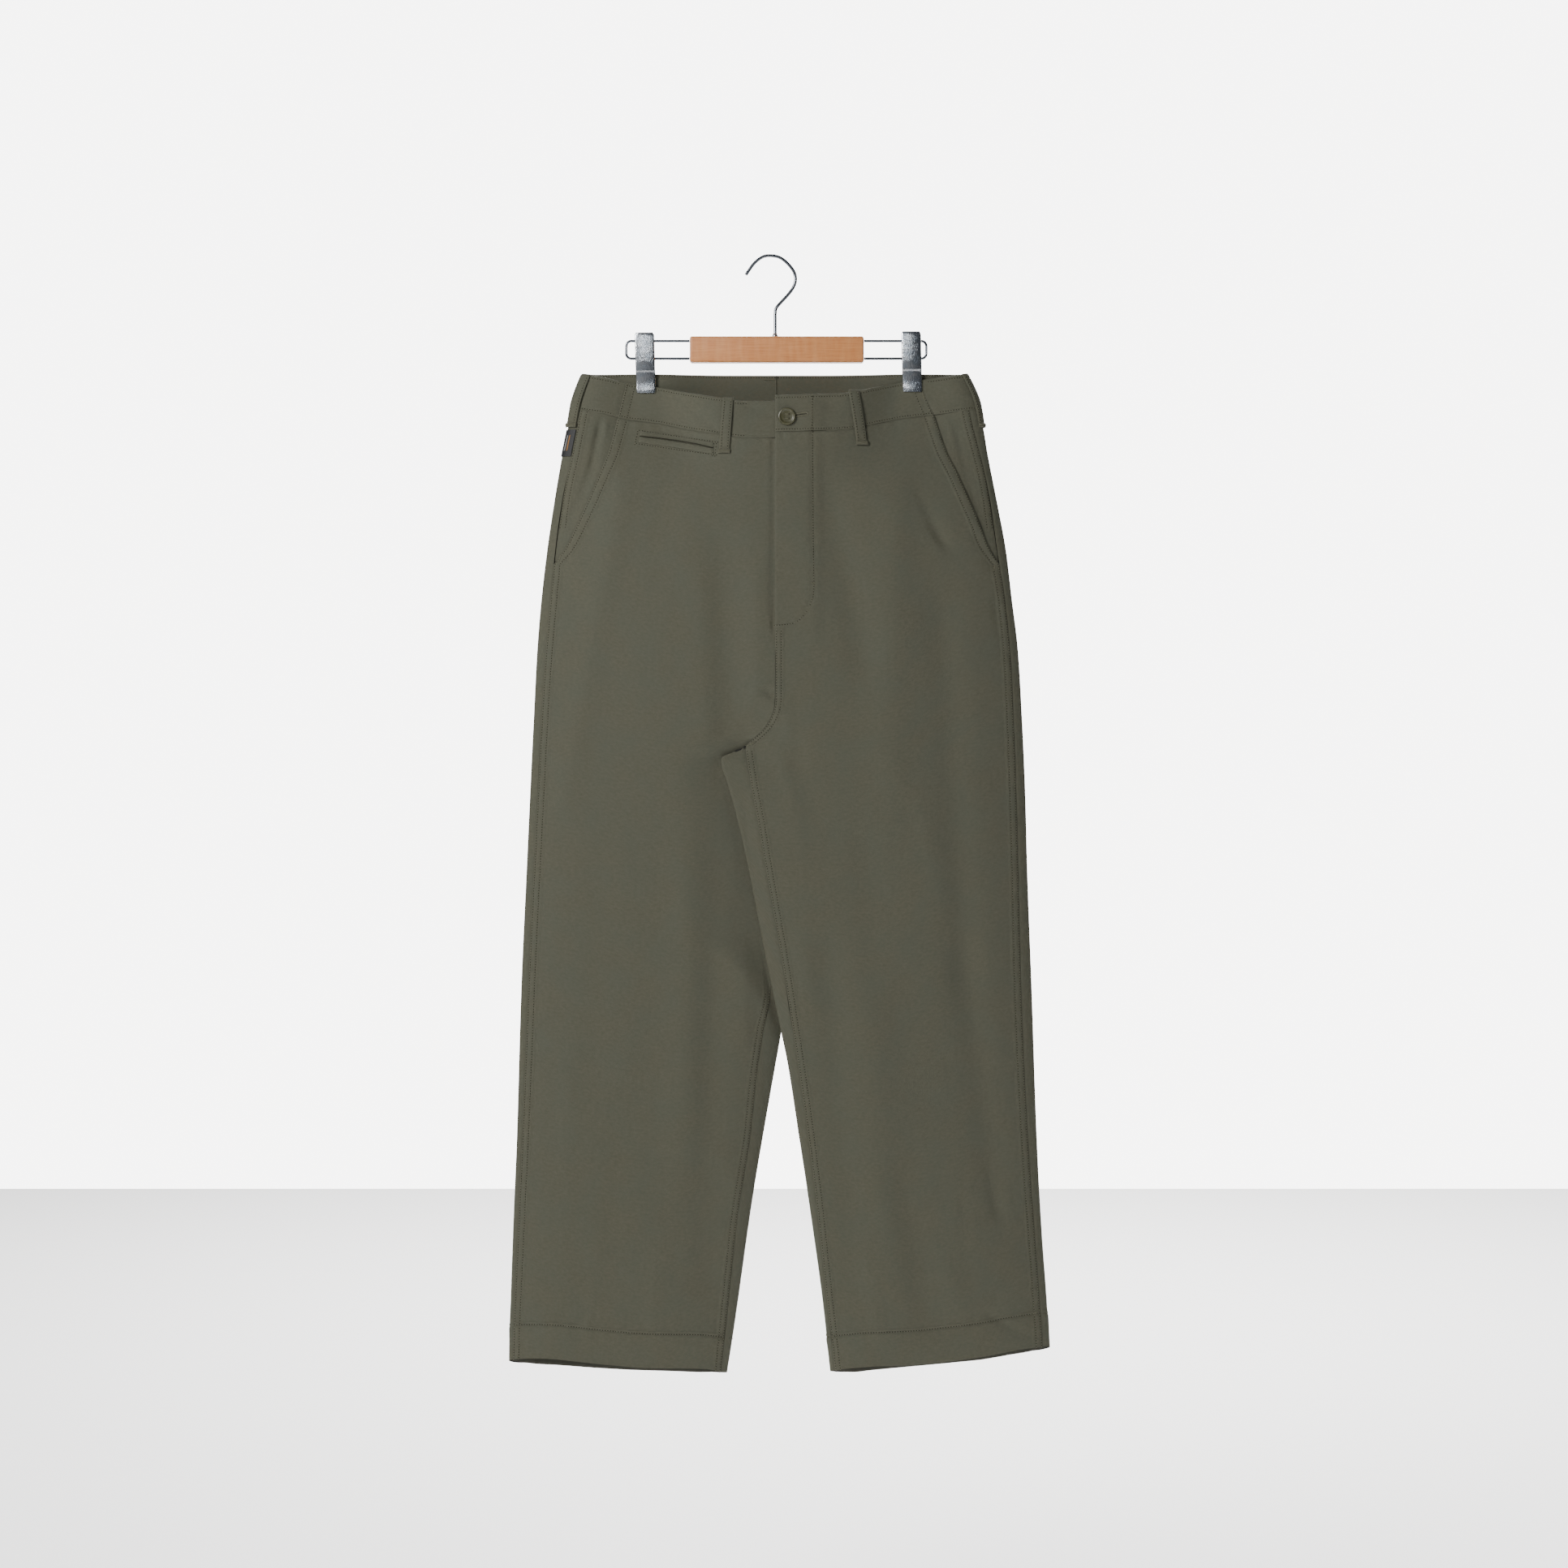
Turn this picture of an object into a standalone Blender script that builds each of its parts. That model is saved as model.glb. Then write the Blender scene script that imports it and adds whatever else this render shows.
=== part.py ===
"""Softshell trousers hanging by the waistband from a wooden clip hanger.

The frame: +X to the viewer's right, the garment's front faces -Y, +Z up. The origin is the inside top
of the hanger's hook, where the whole thing hangs. Lengths are millimetres until a mesh is made, and
heights are written as "down", the distance below the origin.
"""

import math

import bmesh
import bpy
import numpy as np
from mathutils import Matrix

MM = 0.001

# ---- driving dimensions, mm ----
CLOTH = 1.0            # one layer of bonded softshell
BAND = 2.0             # waistband, two layers
TAPE = 1.2             # belt loop, folded strip
SEAM_GAP = 0.4         # clear space between two sewn pieces
LAY_GAP = 0.4          # clear space under a piece that lies on another
FOLD_RADIUS = 2.0      # tightest bend of the cloth, at the side and inner folds
CROSS_GAP = 0.7        # half of the space kept between the two crossing legs
WAIST_TOP = 118.0      # top edge of the waistband at the side folds
WAIST_SEAM = 153.0     # seam between waistband and panels
FORK_TOP = 456.0       # where the two back panels part
FORK = 482.5           # crotch point, where all four panels meet
HEM = 1087.0           # lower edge of the legs, before its slope
HEM_TURN = 36.0        # height of the turned-up hem
HEM_WALL = 1.2         # its thickness
HEM_STEPS = 28         # points round it
CENTRE_BACK = 4.8      # centre-back seam
FLY_EDGE = 3.2         # edge of the fly, which is also the front rise seam
FLY_END = 364.0        # foot of the fly
FLY_WIDTH = 38.0       # fly edge to the J stitch
UNDERLAP = 9.0         # how far the left front runs on under the fly
BAND_UNDERLAP = 28.0   # how far the left waistband runs on under the right one
POCKET_END = 302.3     # where the slanted pocket edge meets the side seam
CLIP_X = (-124.2, 138.1)
CLIP_HALF = 2.6        # half of the pinched waist's thickness
CLIP_FLAT = 12.0       # the waist is flat this far each side of a clip's middle
PINCH_WIDTH = 24.0     # how fast the waist opens again beside a clip
PINCH_SPREAD = 0.35    # growth of that width for each mm below the waist's top
PINCH_HOLD = 14.0      # the pinch is full this far below the top, and fades over PINCH_FADE
PINCH_FADE = 62.0
FORK_SWELL = dict(x=-22.0, down=482.0, height=4.0, width=30.0)    # cloth bunched at the crotch point
LOOP_WIDTH = 10.2
LOOP_ROWS = 6
LOOP_OFF = 1.8         # how far a loop stands off between its two tacked ends
WELT_SLIT = ((-130.0, 177.6), (-57.0, 190.0))    # ends of the small pocket's slit, x and down
WELT_HEIGHT = 5.4
BUTTON_DIAMETER = 17.4
BUTTON_PLACE = (14.9, 159.5)
BUTTON_THICK = 2.8
BUTTON_DISH = 0.9      # how deep the button's middle lies below its rim
BUTTON_STEPS = 24
THREAD_HOLE = dict(radius=0.95, aside=2.1)


def table(columns, *rows):
    """A short table with named columns."""
    values = np.array(rows, float).T
    return dict(zip(columns.split(), values))


FINE = 240             # points of a stretch before it is resampled
BEND = 4.5             # length each side of a fold that gets columns of its own
SPARE = 6.0            # room kept for the inner fold's columns where no fold is
SEAM_TURNS = ((FORK_TOP, 6), (738, 14))    # heights where an inner seam turns and needs more room

# Outer folds, side seams and half depths of the hanging garment; reach is how far in from the outer
# fold the wall has its whole depth.
BODY = table(
    "down   left    right   seam_left seam_right front  back  reach",
    (114,  -185.5,  190.5,  -176.5,   183.0,     17.0,  11.0, 175),
    (146,  -196.0,  203.5,  -186.5,   193.0,     19.0,  13.0, 180),
    (170,  -201.0,  208.5,  -191.5,   198.0,     20.0,  14.0, 185),
    (194,  -206.0,  212.5,  -196.0,   204.5,     20.5,  15.0, 190),
    (242,  -214.4,  222.0,  -206.5,   215.2,     20.5,  16.5, 200),
    (290,  -221.6,  231.0,  -213.2,   222.0,     20.0,  17.0, 205),
    (338,  -227.2,  236.8,  -218.0,   229.5,     19.0,  17.0, 205),
    (386,  -231.2,  242.6,  -222.2,   234.5,     18.0,  17.0, 205),
    (456,  -234.8,  246.8,  -227.0,   238.2,     17.0,  17.0, 200),
    (530,  -238.4,  250.0,  -230.7,   240.9,     16.0,  16.0, 170),
    (600,  -241.6,  251.8,  -234.2,   242.7,     15.0,  15.0, 140),
    (720,  -247.0,  256.2,  -240.0,   245.6,     13.5,  13.5, 120),
    (866,  -251.3,  261.2,  -245.9,   252.2,     13.0,  13.0, 115),
    (962,  -255.2,  266.0,  -250.3,   258.8,     13.5,  13.5, 110),
    (1058, -258.2,  272.2,  -254.4,   264.9,     14.0,  15.5, 105),
    (1102, -258.8,  274.5,  -255.2,   267.5,     14.5,  17.0, 105),
)

# Inner edge of each leg: x and y of the fold, x of the inseam on the leg's front, and the reach.
# Above the crotch point the right leg's row is the back rise seam, which no fold shows.
LEG_RIGHT = table(
    "down   fold   depth  seam   reach",
    (448,    4.8,  17.0,   4.8,  45),
    (456,    4.8,  13.5,   4.8,  45),
    (463,   -2.0,   9.0,  -2.0,  45),
    (470,  -12.0,   0.5, -12.0,  45),
    (477,  -20.5,  -6.5, -20.5,  45),
    (482.5, -26.3, -10.5, -26.3, 45),
    (488,  -39.0, -11.0, -25.6,  45),
    (493,  -46.5, -11.0, -24.9,  45),
    (502,  -48.5, -11.0, -23.5,  48),
    (520,  -43.0, -10.5, -20.5,  54),
    (555,  -33.5,  -9.3, -13.9,  64),
    (594,  -24.7,  -8.0,  -7.3,  72),
    (696,   -4.8,  -5.0,  10.4,  95),
    (761,    8.6,  -3.5,  20.6, 100),
    (793,   15.2,  -2.5,  25.5, 100),
    (865,   26.4,  -1.0,  35.6, 105),
    (937,   37.5,   0.0,  44.6, 105),
    (1012,  49.0,   0.0,  53.4, 105),
    (1102,  59.8,   0.0,  64.0, 105),
)
LEG_LEFT = table(
    "down   fold   depth  seam   reach",
    (456,    4.8,  17.0,   4.8,  45),
    (463,   13.0,  14.0,  -2.0,  45),
    (470,   21.5,  13.4, -12.0,  45),
    (477,   27.5,  12.7, -20.5,  45),
    (482.5, 31.0,  12.0, -26.3,  45),
    (502,   39.0,  10.5, -23.0,  48),
    (520,   42.0,  10.0, -20.0,  54),
    (555,   38.5,   9.3, -14.5,  64),
    (594,   32.5,   8.0,  -9.0,  72),
    (670,   21.5,   5.5,  -3.0,  90),
    (722,   14.5,   4.3,  -1.2,  98),
    (762,    9.6,   3.5,  -8.0, 100),
    (800,    3.0,   2.4, -14.0, 102),
    (867,   -8.8,   1.0, -21.1, 105),
    (939,  -20.9,   0.0, -32.8, 105),
    (1011, -32.1,   0.0, -41.5, 105),
    (1102, -46.4,   0.0, -51.5, 105),
)

# Slanted pocket edges, which cross the waistband too.
SLANT = table(
    "down   left    right",
    (112,  -140.0,  142.5),
    (133,  -145.5,  149.9),
    (158,  -151.5,  160.0),
    (195,  -161.1,  172.7),
    (212,  -168.0,  181.5),
    (259,  -188.6,  202.2),
    (291,  -205.2,  215.8),
    (POCKET_END, -214.2, 223.6),
)

# Front rise seam below the fly, bending to the crotch point.
RISE = table(
    "down   x",
    (FLY_END, 3.2),
    (431,   3.2),
    (443,   2.5),
    (458,  -3.1),
    (468, -10.5),
    (476, -19.5),
    (482.5, -26.3),
)

# How far the waist hangs below the height of its side folds, along the front.
DROOP_LEFT = table(
    "x     sag",
    (-190, -2.0), (-165, 2.0), (-143, 7.0), (-111, 11.3), (-81, 18.0),
    (-49, 23.5), (-28, 26.5), (-7, 26.5), (45, 25.0),
)
DROOP_RIGHT = table(
    "x     sag",
    (0, 21.0), (38, 20.0), (72, 18.5), (104, 11.5), (127, 6.5),
    (151, 3.5), (173, 1.0), (195, -2.0),
)
BACK_SAG = -2.0        # the back edge of the waist stands this much higher
DROOP_END = 330.0      # the droop has gone here

# How far each hem hangs below HEM, on its front and its back wall.
HEM_LEFT = table(
    "x     front  back",
    (-262, -2.0,  3.0), (-225, -3.5,  6.0), (-168, 1.5, 11.0),
    (-127,  5.0, 13.0), (-72,   6.5, 13.5), (-40, 11.5, 13.5),
)
HEM_RIGHT = table(
    "x     front  back",
    (52,   10.0, 12.0), (77,   6.5, 13.5), (99,   4.2, 12.0), (140, 2.3, 9.0),
    (173,  -1.2,  6.0), (209, -6.0,  2.0), (239, -11.3, -4.0), (278, -16.0, -11.0),
)
HEM_SLOPE_START = 900.0

# The largest soft folds: a line from top to low end, its half width and its height towards the
# viewer, which is negative for a trough.
FRONT_FOLDS = table(
    "x_top  down_top  x_low  down_low  width  height",
    (-149,  230,      -203,  520,      16,     2.6),
    (-50,   300,      -39,   600,      22,    -2.6),
    (-66,   330,      -62,   460,      15,     1.6),
    (-14,   310,      -14,   425,      12,     1.2),
    (58,    235,      88,    385,      18,    -2.4),
    (120,   240,      118,   500,      20,     2.2),
    (168,   350,      190,   700,      17,    -2.6),
    (190,   700,      220,   915,      15,    -2.4),
    (-77,   610,      -87,   860,      20,     2.4),
    (-56,   600,      -62,   1000,     16,    -2.2),
    (56,    705,      78,    1000,     18,    -2.4),
    (100,   760,      120,   1000,     22,     1.8),
    (130,   920,      150,   1030,     16,    -1.8),
)
BACK_FOLDS = table(
    "x_top  down_top  x_low  down_low  width  height",
    (-120,  250,      -70,   440,      24,     2.6),
    (125,   250,      75,    440,      24,     2.6),
    (-165,  330,      -120,  600,      22,    -2.2),
    (170,   330,      135,   600,      22,    -2.2),
    (-140,  640,      -150,  950,      20,     2.2),
    (150,   640,      165,   950,      20,     2.2),
    (-95,   760,      -110,  1030,     18,    -1.8),
    (112,   760,      125,   1030,     18,    -1.8),
)

# The hanger.
BAR = dict(left=-80.7, right=90.5, top=78.6, low=104.2, thick=14.0, corner=2.2)
RAILS = (82.6, 99.9)
RAIL_WIRE = 2.5
RAIL_ENDS = (-143.5, 152.3)
RAIL_BEND = 5.0
HOOK_WIRE = 3.1
COLLAR = dict(x=3.3, top=75.4, radius=2.9)
CLIP_WIDTH = 19.2
CLIP_SHEET = 1.0
CLIP_TOPS = (75.2, 74.0)
CLIP_HEIGHT = 59.0
CLIP_LEAN = 1.6        # how far to the right the foot of a clip stands of its top
SPRING = dict(height=34.8, radius=2.6)

# Half of a clip from the side: distance from the mid plane of its outer face and of its side
# flanges' edge, at a height below the clip's top. The flanges leave room for the rails' wire.
CLIP_SIDE = table(
    "height  face  flange",
    (0,      7.2,  5.9),
    (2,      7.4,  1.75),
    (29,     6.9,  1.75),
    (31.5,   6.7,  0.25),
    (36.5,   6.2,  0.25),
    (39.5,   5.4,  3.0),
    (50,     4.5,  3.1),
    (CLIP_HEIGHT, 4.4, 3.1),
)

# Centre line of the hook's wire, from its free tip to the collar.
HOOK_LINE = table(
    "x     down",
    (-25.6, 17.3), (-17.2, 5.8), (-8.8, -0.4), (-0.8, -1.55), (7.6, 0.2), (14.4, 5.0), (21.2, 13.2),
    (23.4, 21.5), (21.2, 29.5), (15.9, 37.0), (4.9, 49.2), (3.4, 54.5), (3.3, 62.0), (3.3, 75.0),
)

# Heights of the panels' rows, close together where the legs part.
PANEL_ROWS = (WAIST_SEAM + SEAM_GAP, 168, 185, 220, 260, 300, 345, FLY_END + 2, 400, FORK_TOP - 8,
              FORK_TOP, 463, 470, 477, FORK, 485, 488, 493, 502, 520, 555, 605, 650, 685, 708, 722, 737, 765,
              855, 950, HEM - HEM_TURN, HEM)
BAND_ROWS = (WAIST_TOP, 135, WAIST_SEAM - SEAM_GAP)

# Colours as linear values, roughness and metallic of each finish.
FINISHES = {
    "cloth": ((0.115, 0.112, 0.083), 0.80, 0.0),
    "woven_label": ((0.01, 0.01, 0.01), 0.70, 0.0),
    "button": ((0.060, 0.060, 0.042), 0.35, 0.0),
    "wood": ((0.62, 0.31, 0.17), 0.45, 0.0),
    "chrome": ((0.62, 0.64, 0.66), 0.18, 1.0),
}


TURN_TO_Y = Matrix(((1, 0, 0), (0, 0, -1), (0, 1, 0)))
TURN_TO_X = Matrix(((0, 0, 1), (0, 1, 0), (-1, 0, 0)))


# ---- curves ----
def slopes(x, y):
    """Tangents of a curve that never overshoots its points."""
    step = np.diff(x)
    rise = np.diff(y) / step
    tangents = np.zeros_like(y)
    tangents[0] = rise[0]
    tangents[-1] = rise[-1]
    for i in range(1, len(x) - 1):
        if rise[i - 1] * rise[i] > 0:
            before = 2 * step[i] + step[i - 1]
            after = step[i] + 2 * step[i - 1]
            tangents[i] = (before + after) / (before / rise[i - 1] + after / rise[i])
    return tangents


def along(rows, column, where, key="down"):
    """A column's value at a height, on a smooth curve through the rows."""
    x = rows[key]
    y = rows[column]
    where = np.clip(where, x[0], x[-1])
    i = np.clip(np.searchsorted(x, where, side="right") - 1, 0, len(x) - 2)
    step = x[i + 1] - x[i]
    t = (where - x[i]) / step
    m = slopes(x, y)
    return ((1 + 2 * t) * (1 - t) ** 2 * y[i] + t * (1 - t) ** 2 * step * m[i]
            + t * t * (3 - 2 * t) * y[i + 1] + t * t * (t - 1) * step * m[i + 1])


def ease(value, start, end):
    """0 before start, 1 after end, smooth between."""
    t = np.clip((value - start) / (end - start), 0, 1)
    return t * t * (3 - 2 * t)


def rounded(distance, reach):
    """0 at a fold, 1 a reach away, and upright at the fold itself."""
    t = np.clip(distance / reach, 0, 1)
    return np.sqrt(1 - (1 - t) ** 2.5)


def fold_depth(distance):
    """Half thickness of the cloth's own bend, this far from its tip."""
    t = np.clip(distance / FOLD_RADIUS, 0, 1)
    return FOLD_RADIUS * np.sqrt(1 - (1 - t) ** 2)


# ---- the hanging form: depth of every wall at x and down ----
def pinch(x, down):
    """1 where a clip presses the waist flat, fading around and below it."""
    below = np.maximum(down - WAIST_TOP, 0)
    width = PINCH_WIDTH + PINCH_SPREAD * below
    total = 0
    for clip_x in CLIP_X:
        aside = np.maximum(np.abs(x - clip_x) - CLIP_FLAT, 0)
        total = total + np.exp(-(aside / width) ** 2)
    return np.clip(total, 0, 1) * np.exp(-(np.maximum(below - PINCH_HOLD, 0) / PINCH_FADE) ** 2)


def soft_folds(folds, x, down):
    """Height of the large folds at a point."""
    total = 0
    for i in range(len(folds["width"])):
        x_top, x_low = folds["x_top"][i], folds["x_low"][i]
        top, low = folds["down_top"][i], folds["down_low"][i]
        t = np.clip((down - top) / (low - top), 0, 1)
        aside = x - (x_top + (x_low - x_top) * t)
        beyond = down - (top + (low - top) * t)
        width = folds["width"][i]
        total = total + folds["height"][i] * np.exp(-(aside / width) ** 2 - (beyond / (2 * width)) ** 2)
    return total


def free_wall(side, x, down, facing):
    """y of the front (facing -1) or back (facing 1) wall, as if no inner fold were there."""
    distance = np.abs(x - along(BODY, side, down))
    column, folds = ("front", FRONT_FOLDS) if facing < 0 else ("back", BACK_FOLDS)
    full = rounded(distance, along(BODY, "reach", down))
    pressed = pinch(x, down)
    depth = along(BODY, column, down) * full * (1 - pressed) + CLIP_HALF * pressed
    depth = depth + soft_folds(folds, x, down) * full * (1 - pressed)
    if facing < 0:
        away = np.hypot(x - FORK_SWELL["x"], down - FORK_SWELL["down"]) / FORK_SWELL["width"]
        depth = depth - FORK_SWELL["height"] * np.exp(-away ** 2)
    return facing * np.maximum(depth, fold_depth(distance))


def inner(side):
    return LEG_LEFT if side == "left" else LEG_RIGHT


def divide(x, down):
    """y of the surface between the two crossing legs, and how strongly it acts."""
    right_fold = along(LEG_RIGHT, "fold", down)
    left_fold = along(LEG_LEFT, "fold", down)
    overlap = left_fold - right_fold
    span = np.maximum(overlap, 0.5)
    clear = FOLD_RADIUS + CROSS_GAP
    near = along(LEG_RIGHT, "depth", down) + clear
    far = along(LEG_LEFT, "depth", down) - clear
    steep = 0.5 + 3.0 * (1 - np.clip(overlap / 30, 0, 1))
    t = (x - right_fold) / span
    beyond = np.maximum(x - left_fold - 2.5, 0) - np.maximum(right_fold - 2.5 - x, 0)
    middle = near + (far - near) * np.clip(t, 0, 1) + steep * beyond
    return middle, np.clip((overlap + 4) / 4, 0, 1) * (down > FORK_TOP)


def closed_wall(side, x, down, facing):
    """y of a wall that also closes on the leg's inner fold."""
    legs = inner(side)
    tip = along(legs, "depth", down)
    distance = np.abs(x - along(legs, "fold", down))
    free = free_wall(side, x, down, facing)
    reach = along(legs, "reach", down)
    closed = tip + (free - tip) * rounded(distance, reach)
    if facing < 0:
        bend = tip - fold_depth(distance)
        least = np.minimum(closed, bend)
    else:
        start = FORK - 1 if side == "right" else FORK_TOP
        bend = tip + fold_depth(distance) * ease(down, start, start + 4)
        least = np.maximum(closed, bend)
    return closed + (least - closed) * (1 - ease(distance, 0.4 * reach, 0.8 * reach))


def front_wall(side, x, down, strip=False):
    """y of the front; strip is the left leg's hidden stretch behind the right leg."""
    free = free_wall(side, x, down, -1)
    if side == "right":
        grown = ease(down, FORK, FORK + 18)
        return free + (closed_wall(side, x, down, -1) - free) * grown
    middle, strength = divide(x, down)
    behind = 1.0 if strip else ease(down, FORK - 12, FORK)
    closed = closed_wall(side, x, down, -1)
    if not strip:
        closed = free + (closed - free) * ease(down, FORK - 12, FORK + 2)
    held = np.maximum(closed, middle + CROSS_GAP)
    return closed + (held - closed) * strength * behind


def back_wall(side, x, down):
    """y of the back."""
    parted = down > (FORK_TOP if side == "left" else FORK_TOP - 8)
    y = np.where(parted, closed_wall(side, x, down, 1), free_wall(side, x, down, 1))
    if side == "left":
        return y
    middle, strength = divide(x, down)
    held = np.minimum(y, middle - CROSS_GAP)
    return y + (held - y) * strength


def hang(side, x, y, down, on_front):
    """Height of a point: the waist droops and the hem slopes."""
    if on_front:
        droop = along(DROOP_LEFT if side == "left" else DROOP_RIGHT, "sag", x, "x")
    else:
        droop = BACK_SAG
    hems = HEM_LEFT if side == "left" else HEM_RIGHT
    behind = ease(y, -8, 8)
    slope = along(hems, "front", x, "x") * (1 - behind) + along(hems, "back", x, "x") * behind
    return (down + droop * (1 - ease(down, WAIST_SEAM + 4, DROOP_END))
            + slope * ease(down, HEM_SLOPE_START, HEM - 20))


def front_point(side, x, down):
    """The outer face of the front at a real x and height."""
    return np.array([x, float(front_wall(side, np.float64(x), np.float64(down))), -down])


# ---- plan outlines ----
def stretch(side, x, down, wall):
    """Points of one wall along x, as rows of x, y, z."""
    down = np.full_like(x, down)
    if wall == "back":
        y = back_wall(side, x, down)
    else:
        y = front_wall(side, x, down, strip=(wall == "strip"))
    return np.column_stack([x, y, -hang(side, x, y, down, wall != "back")])


def resample(points, marks, counts):
    """Points spread evenly by length between marks, which are lengths along the line."""
    lengths = np.concatenate([[0], np.cumsum(np.linalg.norm(np.diff(points, axis=0), axis=1))])
    places = [np.linspace(a, b, n, endpoint=False) for a, b, n in zip(marks, marks[1:], counts)]
    places = np.concatenate(places + [[marks[-1]]])
    return np.column_stack([np.interp(places, lengths, points[:, k]) for k in range(3)])


def length_of(points):
    return float(np.linalg.norm(np.diff(points, axis=0), axis=1).sum())


def mark_at(points, x, after):
    """Length along the points where they first pass an x, at least so far along."""
    lengths = np.concatenate([[0], np.cumsum(np.linalg.norm(np.diff(points, axis=0), axis=1))])
    ahead = lengths > after
    nearest = np.argmin(np.abs(points[ahead, 0] - x))
    return float(lengths[ahead][nearest])


def back_row(side, down, start, counts, bends):
    """Row of a back panel: from the side seam round the outer fold, over the back, to the inner edge.

    bends are the x of columns on the back wall where it turns most.
    """
    outer = along(BODY, side, down)
    legs = inner(side)
    fold = along(legs, "fold", down)
    t = np.linspace(0, 1, FINE)
    first = stretch(side, outer + (start - outer) * (1 - t) ** 2, down, "front")
    to_fold = length_of(first)
    has_fold = down > FORK_TOP if side == "left" else down > FORK
    end = fold if down > FORK_TOP else CENTRE_BACK
    second = stretch(side, outer + (end - outer) * (1 - np.cos(math.pi * t)) / 2, down, "back")
    points = np.vstack([first, second[1:]])
    inner_fold = length_of(points)
    on_back = [mark_at(points, x, to_fold + BEND) for x in bends]
    if has_fold:
        seam = along(legs, "seam", down)
        third = stretch(side, fold + (seam - fold) * t ** 2, down, "strip")
        points = np.vstack([points, third])
    total = length_of(points)
    inner_fold = min(inner_fold, total - SPARE)
    bend = min(BEND, (total - inner_fold) / 2)
    edge = SEAM_GAP / 2
    apart = edge + sum(0.4 * math.exp(-((down - turn) / width) ** 2) for turn, width in SEAM_TURNS)
    early = min(BEND, to_fold / 2)
    marks = (edge, to_fold - early, to_fold + BEND, *on_back, inner_fold - BEND, inner_fold + bend,
             total - apart)
    return resample(points, marks, counts)


def across(side, down, start, end, counts, bends=()):
    """Row of a front piece, from one x to another, with columns at the x of its bends."""
    t = np.linspace(0, 1, FINE)
    points = stretch(side, start + (end - start) * t, down, "front")
    edge = SEAM_GAP / 2
    inside = [mark_at(points, x, edge) for x in bends]
    return resample(points, (edge, *inside, length_of(points) - edge), counts)


def slant_at(side, down):
    """x of the slanted pocket edge on a panel row, which droops with the waist."""
    x = along(SLANT, side, down)
    for _ in range(4):
        x = along(SLANT, side, hang(side, x, -20.0, down, True))
    return x


def front_edge(side, down):
    """x of the front panel's outer edge: the pocket edge, then the side seam."""
    x = slant_at(side, down)
    if hang(side, x, -20.0, down, True) < POCKET_END:
        return x
    return along(BODY, "seam_" + side, down)


def rise_at(side, down):
    """x of the front panel's inner edge."""
    if down > FORK:
        return along(inner(side), "seam", down)
    seam = along(RISE, "x", down)
    if side == "left":
        seam = seam + UNDERLAP * (1 - ease(down, FLY_END - 20, FLY_END))
    return seam


# ---- solids ----
def material(name):
    made = bpy.data.materials.get(name)
    if made:
        return made
    colour, roughness, metallic = FINISHES[name]
    made = bpy.data.materials.new(name)
    made.use_nodes = True
    surface = made.node_tree.nodes["Principled BSDF"]
    surface.inputs["Base Color"].default_value = (*colour, 1)
    surface.inputs["Roughness"].default_value = roughness
    surface.inputs["Metallic"].default_value = metallic
    return made


def add_object(name, bm, finish):
    """Turn the mesh outwards and put it in the scene, in metres."""
    bmesh.ops.recalc_face_normals(bm, faces=bm.faces)
    bmesh.ops.scale(bm, vec=(MM, MM, MM), verts=bm.verts)
    mesh = bpy.data.meshes.new(name)
    bm.to_mesh(mesh)
    bm.free()
    mesh.shade_smooth()
    mesh.set_sharp_from_angle(angle=math.radians(40))
    mesh.materials.append(material(finish))
    made = bpy.data.objects.new(name, mesh)
    bpy.context.scene.collection.objects.link(made)
    return made


def outward(grid, sign, ring=False):
    """Unit normals of a grid of points; sign turns them to the outside."""
    if ring:
        along_row = np.roll(grid, -1, axis=1) - np.roll(grid, 1, axis=1)
    else:
        along_row = np.gradient(grid, axis=1)
    normals = np.cross(along_row, np.gradient(grid, axis=0)) * sign
    return normals / np.linalg.norm(normals, axis=2, keepdims=True)


def shell(name, outer, thickness, sign, finish="cloth", ring=False):
    """Closed wall of cloth whose outside is a grid of points."""
    inside = outer - outward(outer, sign, ring) * thickness
    rows, columns = outer.shape[:2]
    bm = bmesh.new()
    skins = []
    for grid in (outer, inside):
        skins.append([[bm.verts.new(grid[r, c]) for c in range(columns)] for r in range(rows)])
    steps = columns if ring else columns - 1
    for skin in skins:
        for r in range(rows - 1):
            for c in range(steps):
                d = (c + 1) % columns
                bm.faces.new((skin[r][c], skin[r][d], skin[r + 1][d], skin[r + 1][c]))
    outer_skin, inner_skin = skins
    for r in (0, rows - 1):
        for c in range(steps):
            d = (c + 1) % columns
            bm.faces.new((outer_skin[r][c], outer_skin[r][d], inner_skin[r][d], inner_skin[r][c]))
    if not ring:
        for c in (0, columns - 1):
            for r in range(rows - 1):
                bm.faces.new((outer_skin[r][c], outer_skin[r + 1][c],
                              inner_skin[r + 1][c], inner_skin[r][c]))
    return add_object(name, bm, finish)


def lifted(grid, sign, amount):
    """The same grid moved outwards, by one amount or by one for each point."""
    amount = np.broadcast_to(np.asarray(amount, float), grid.shape[:2])
    return grid + outward(grid, sign) * amount[:, :, None]


# ---- garment ----
def front_left():
    """The left front; below the crotch point its inner edge runs on behind the right leg."""
    grid = []
    for down in PANEL_ROWS:
        inner_edge = rise_at("left", down)
        covered = min(along(LEG_RIGHT, "fold", down), inner_edge - 8)
        if down < 490:
            covered = min(covered, -22 - 23 * ease(down, 345, 450))
        bends = (covered - 20 + 4 * ease(down, 345, 450), covered + 1)
        grid.append(across("left", down, front_edge("left", down), inner_edge, (7, 3, 2), bends))
    shell("front_left", np.array(grid), CLOTH, -1)


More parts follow.
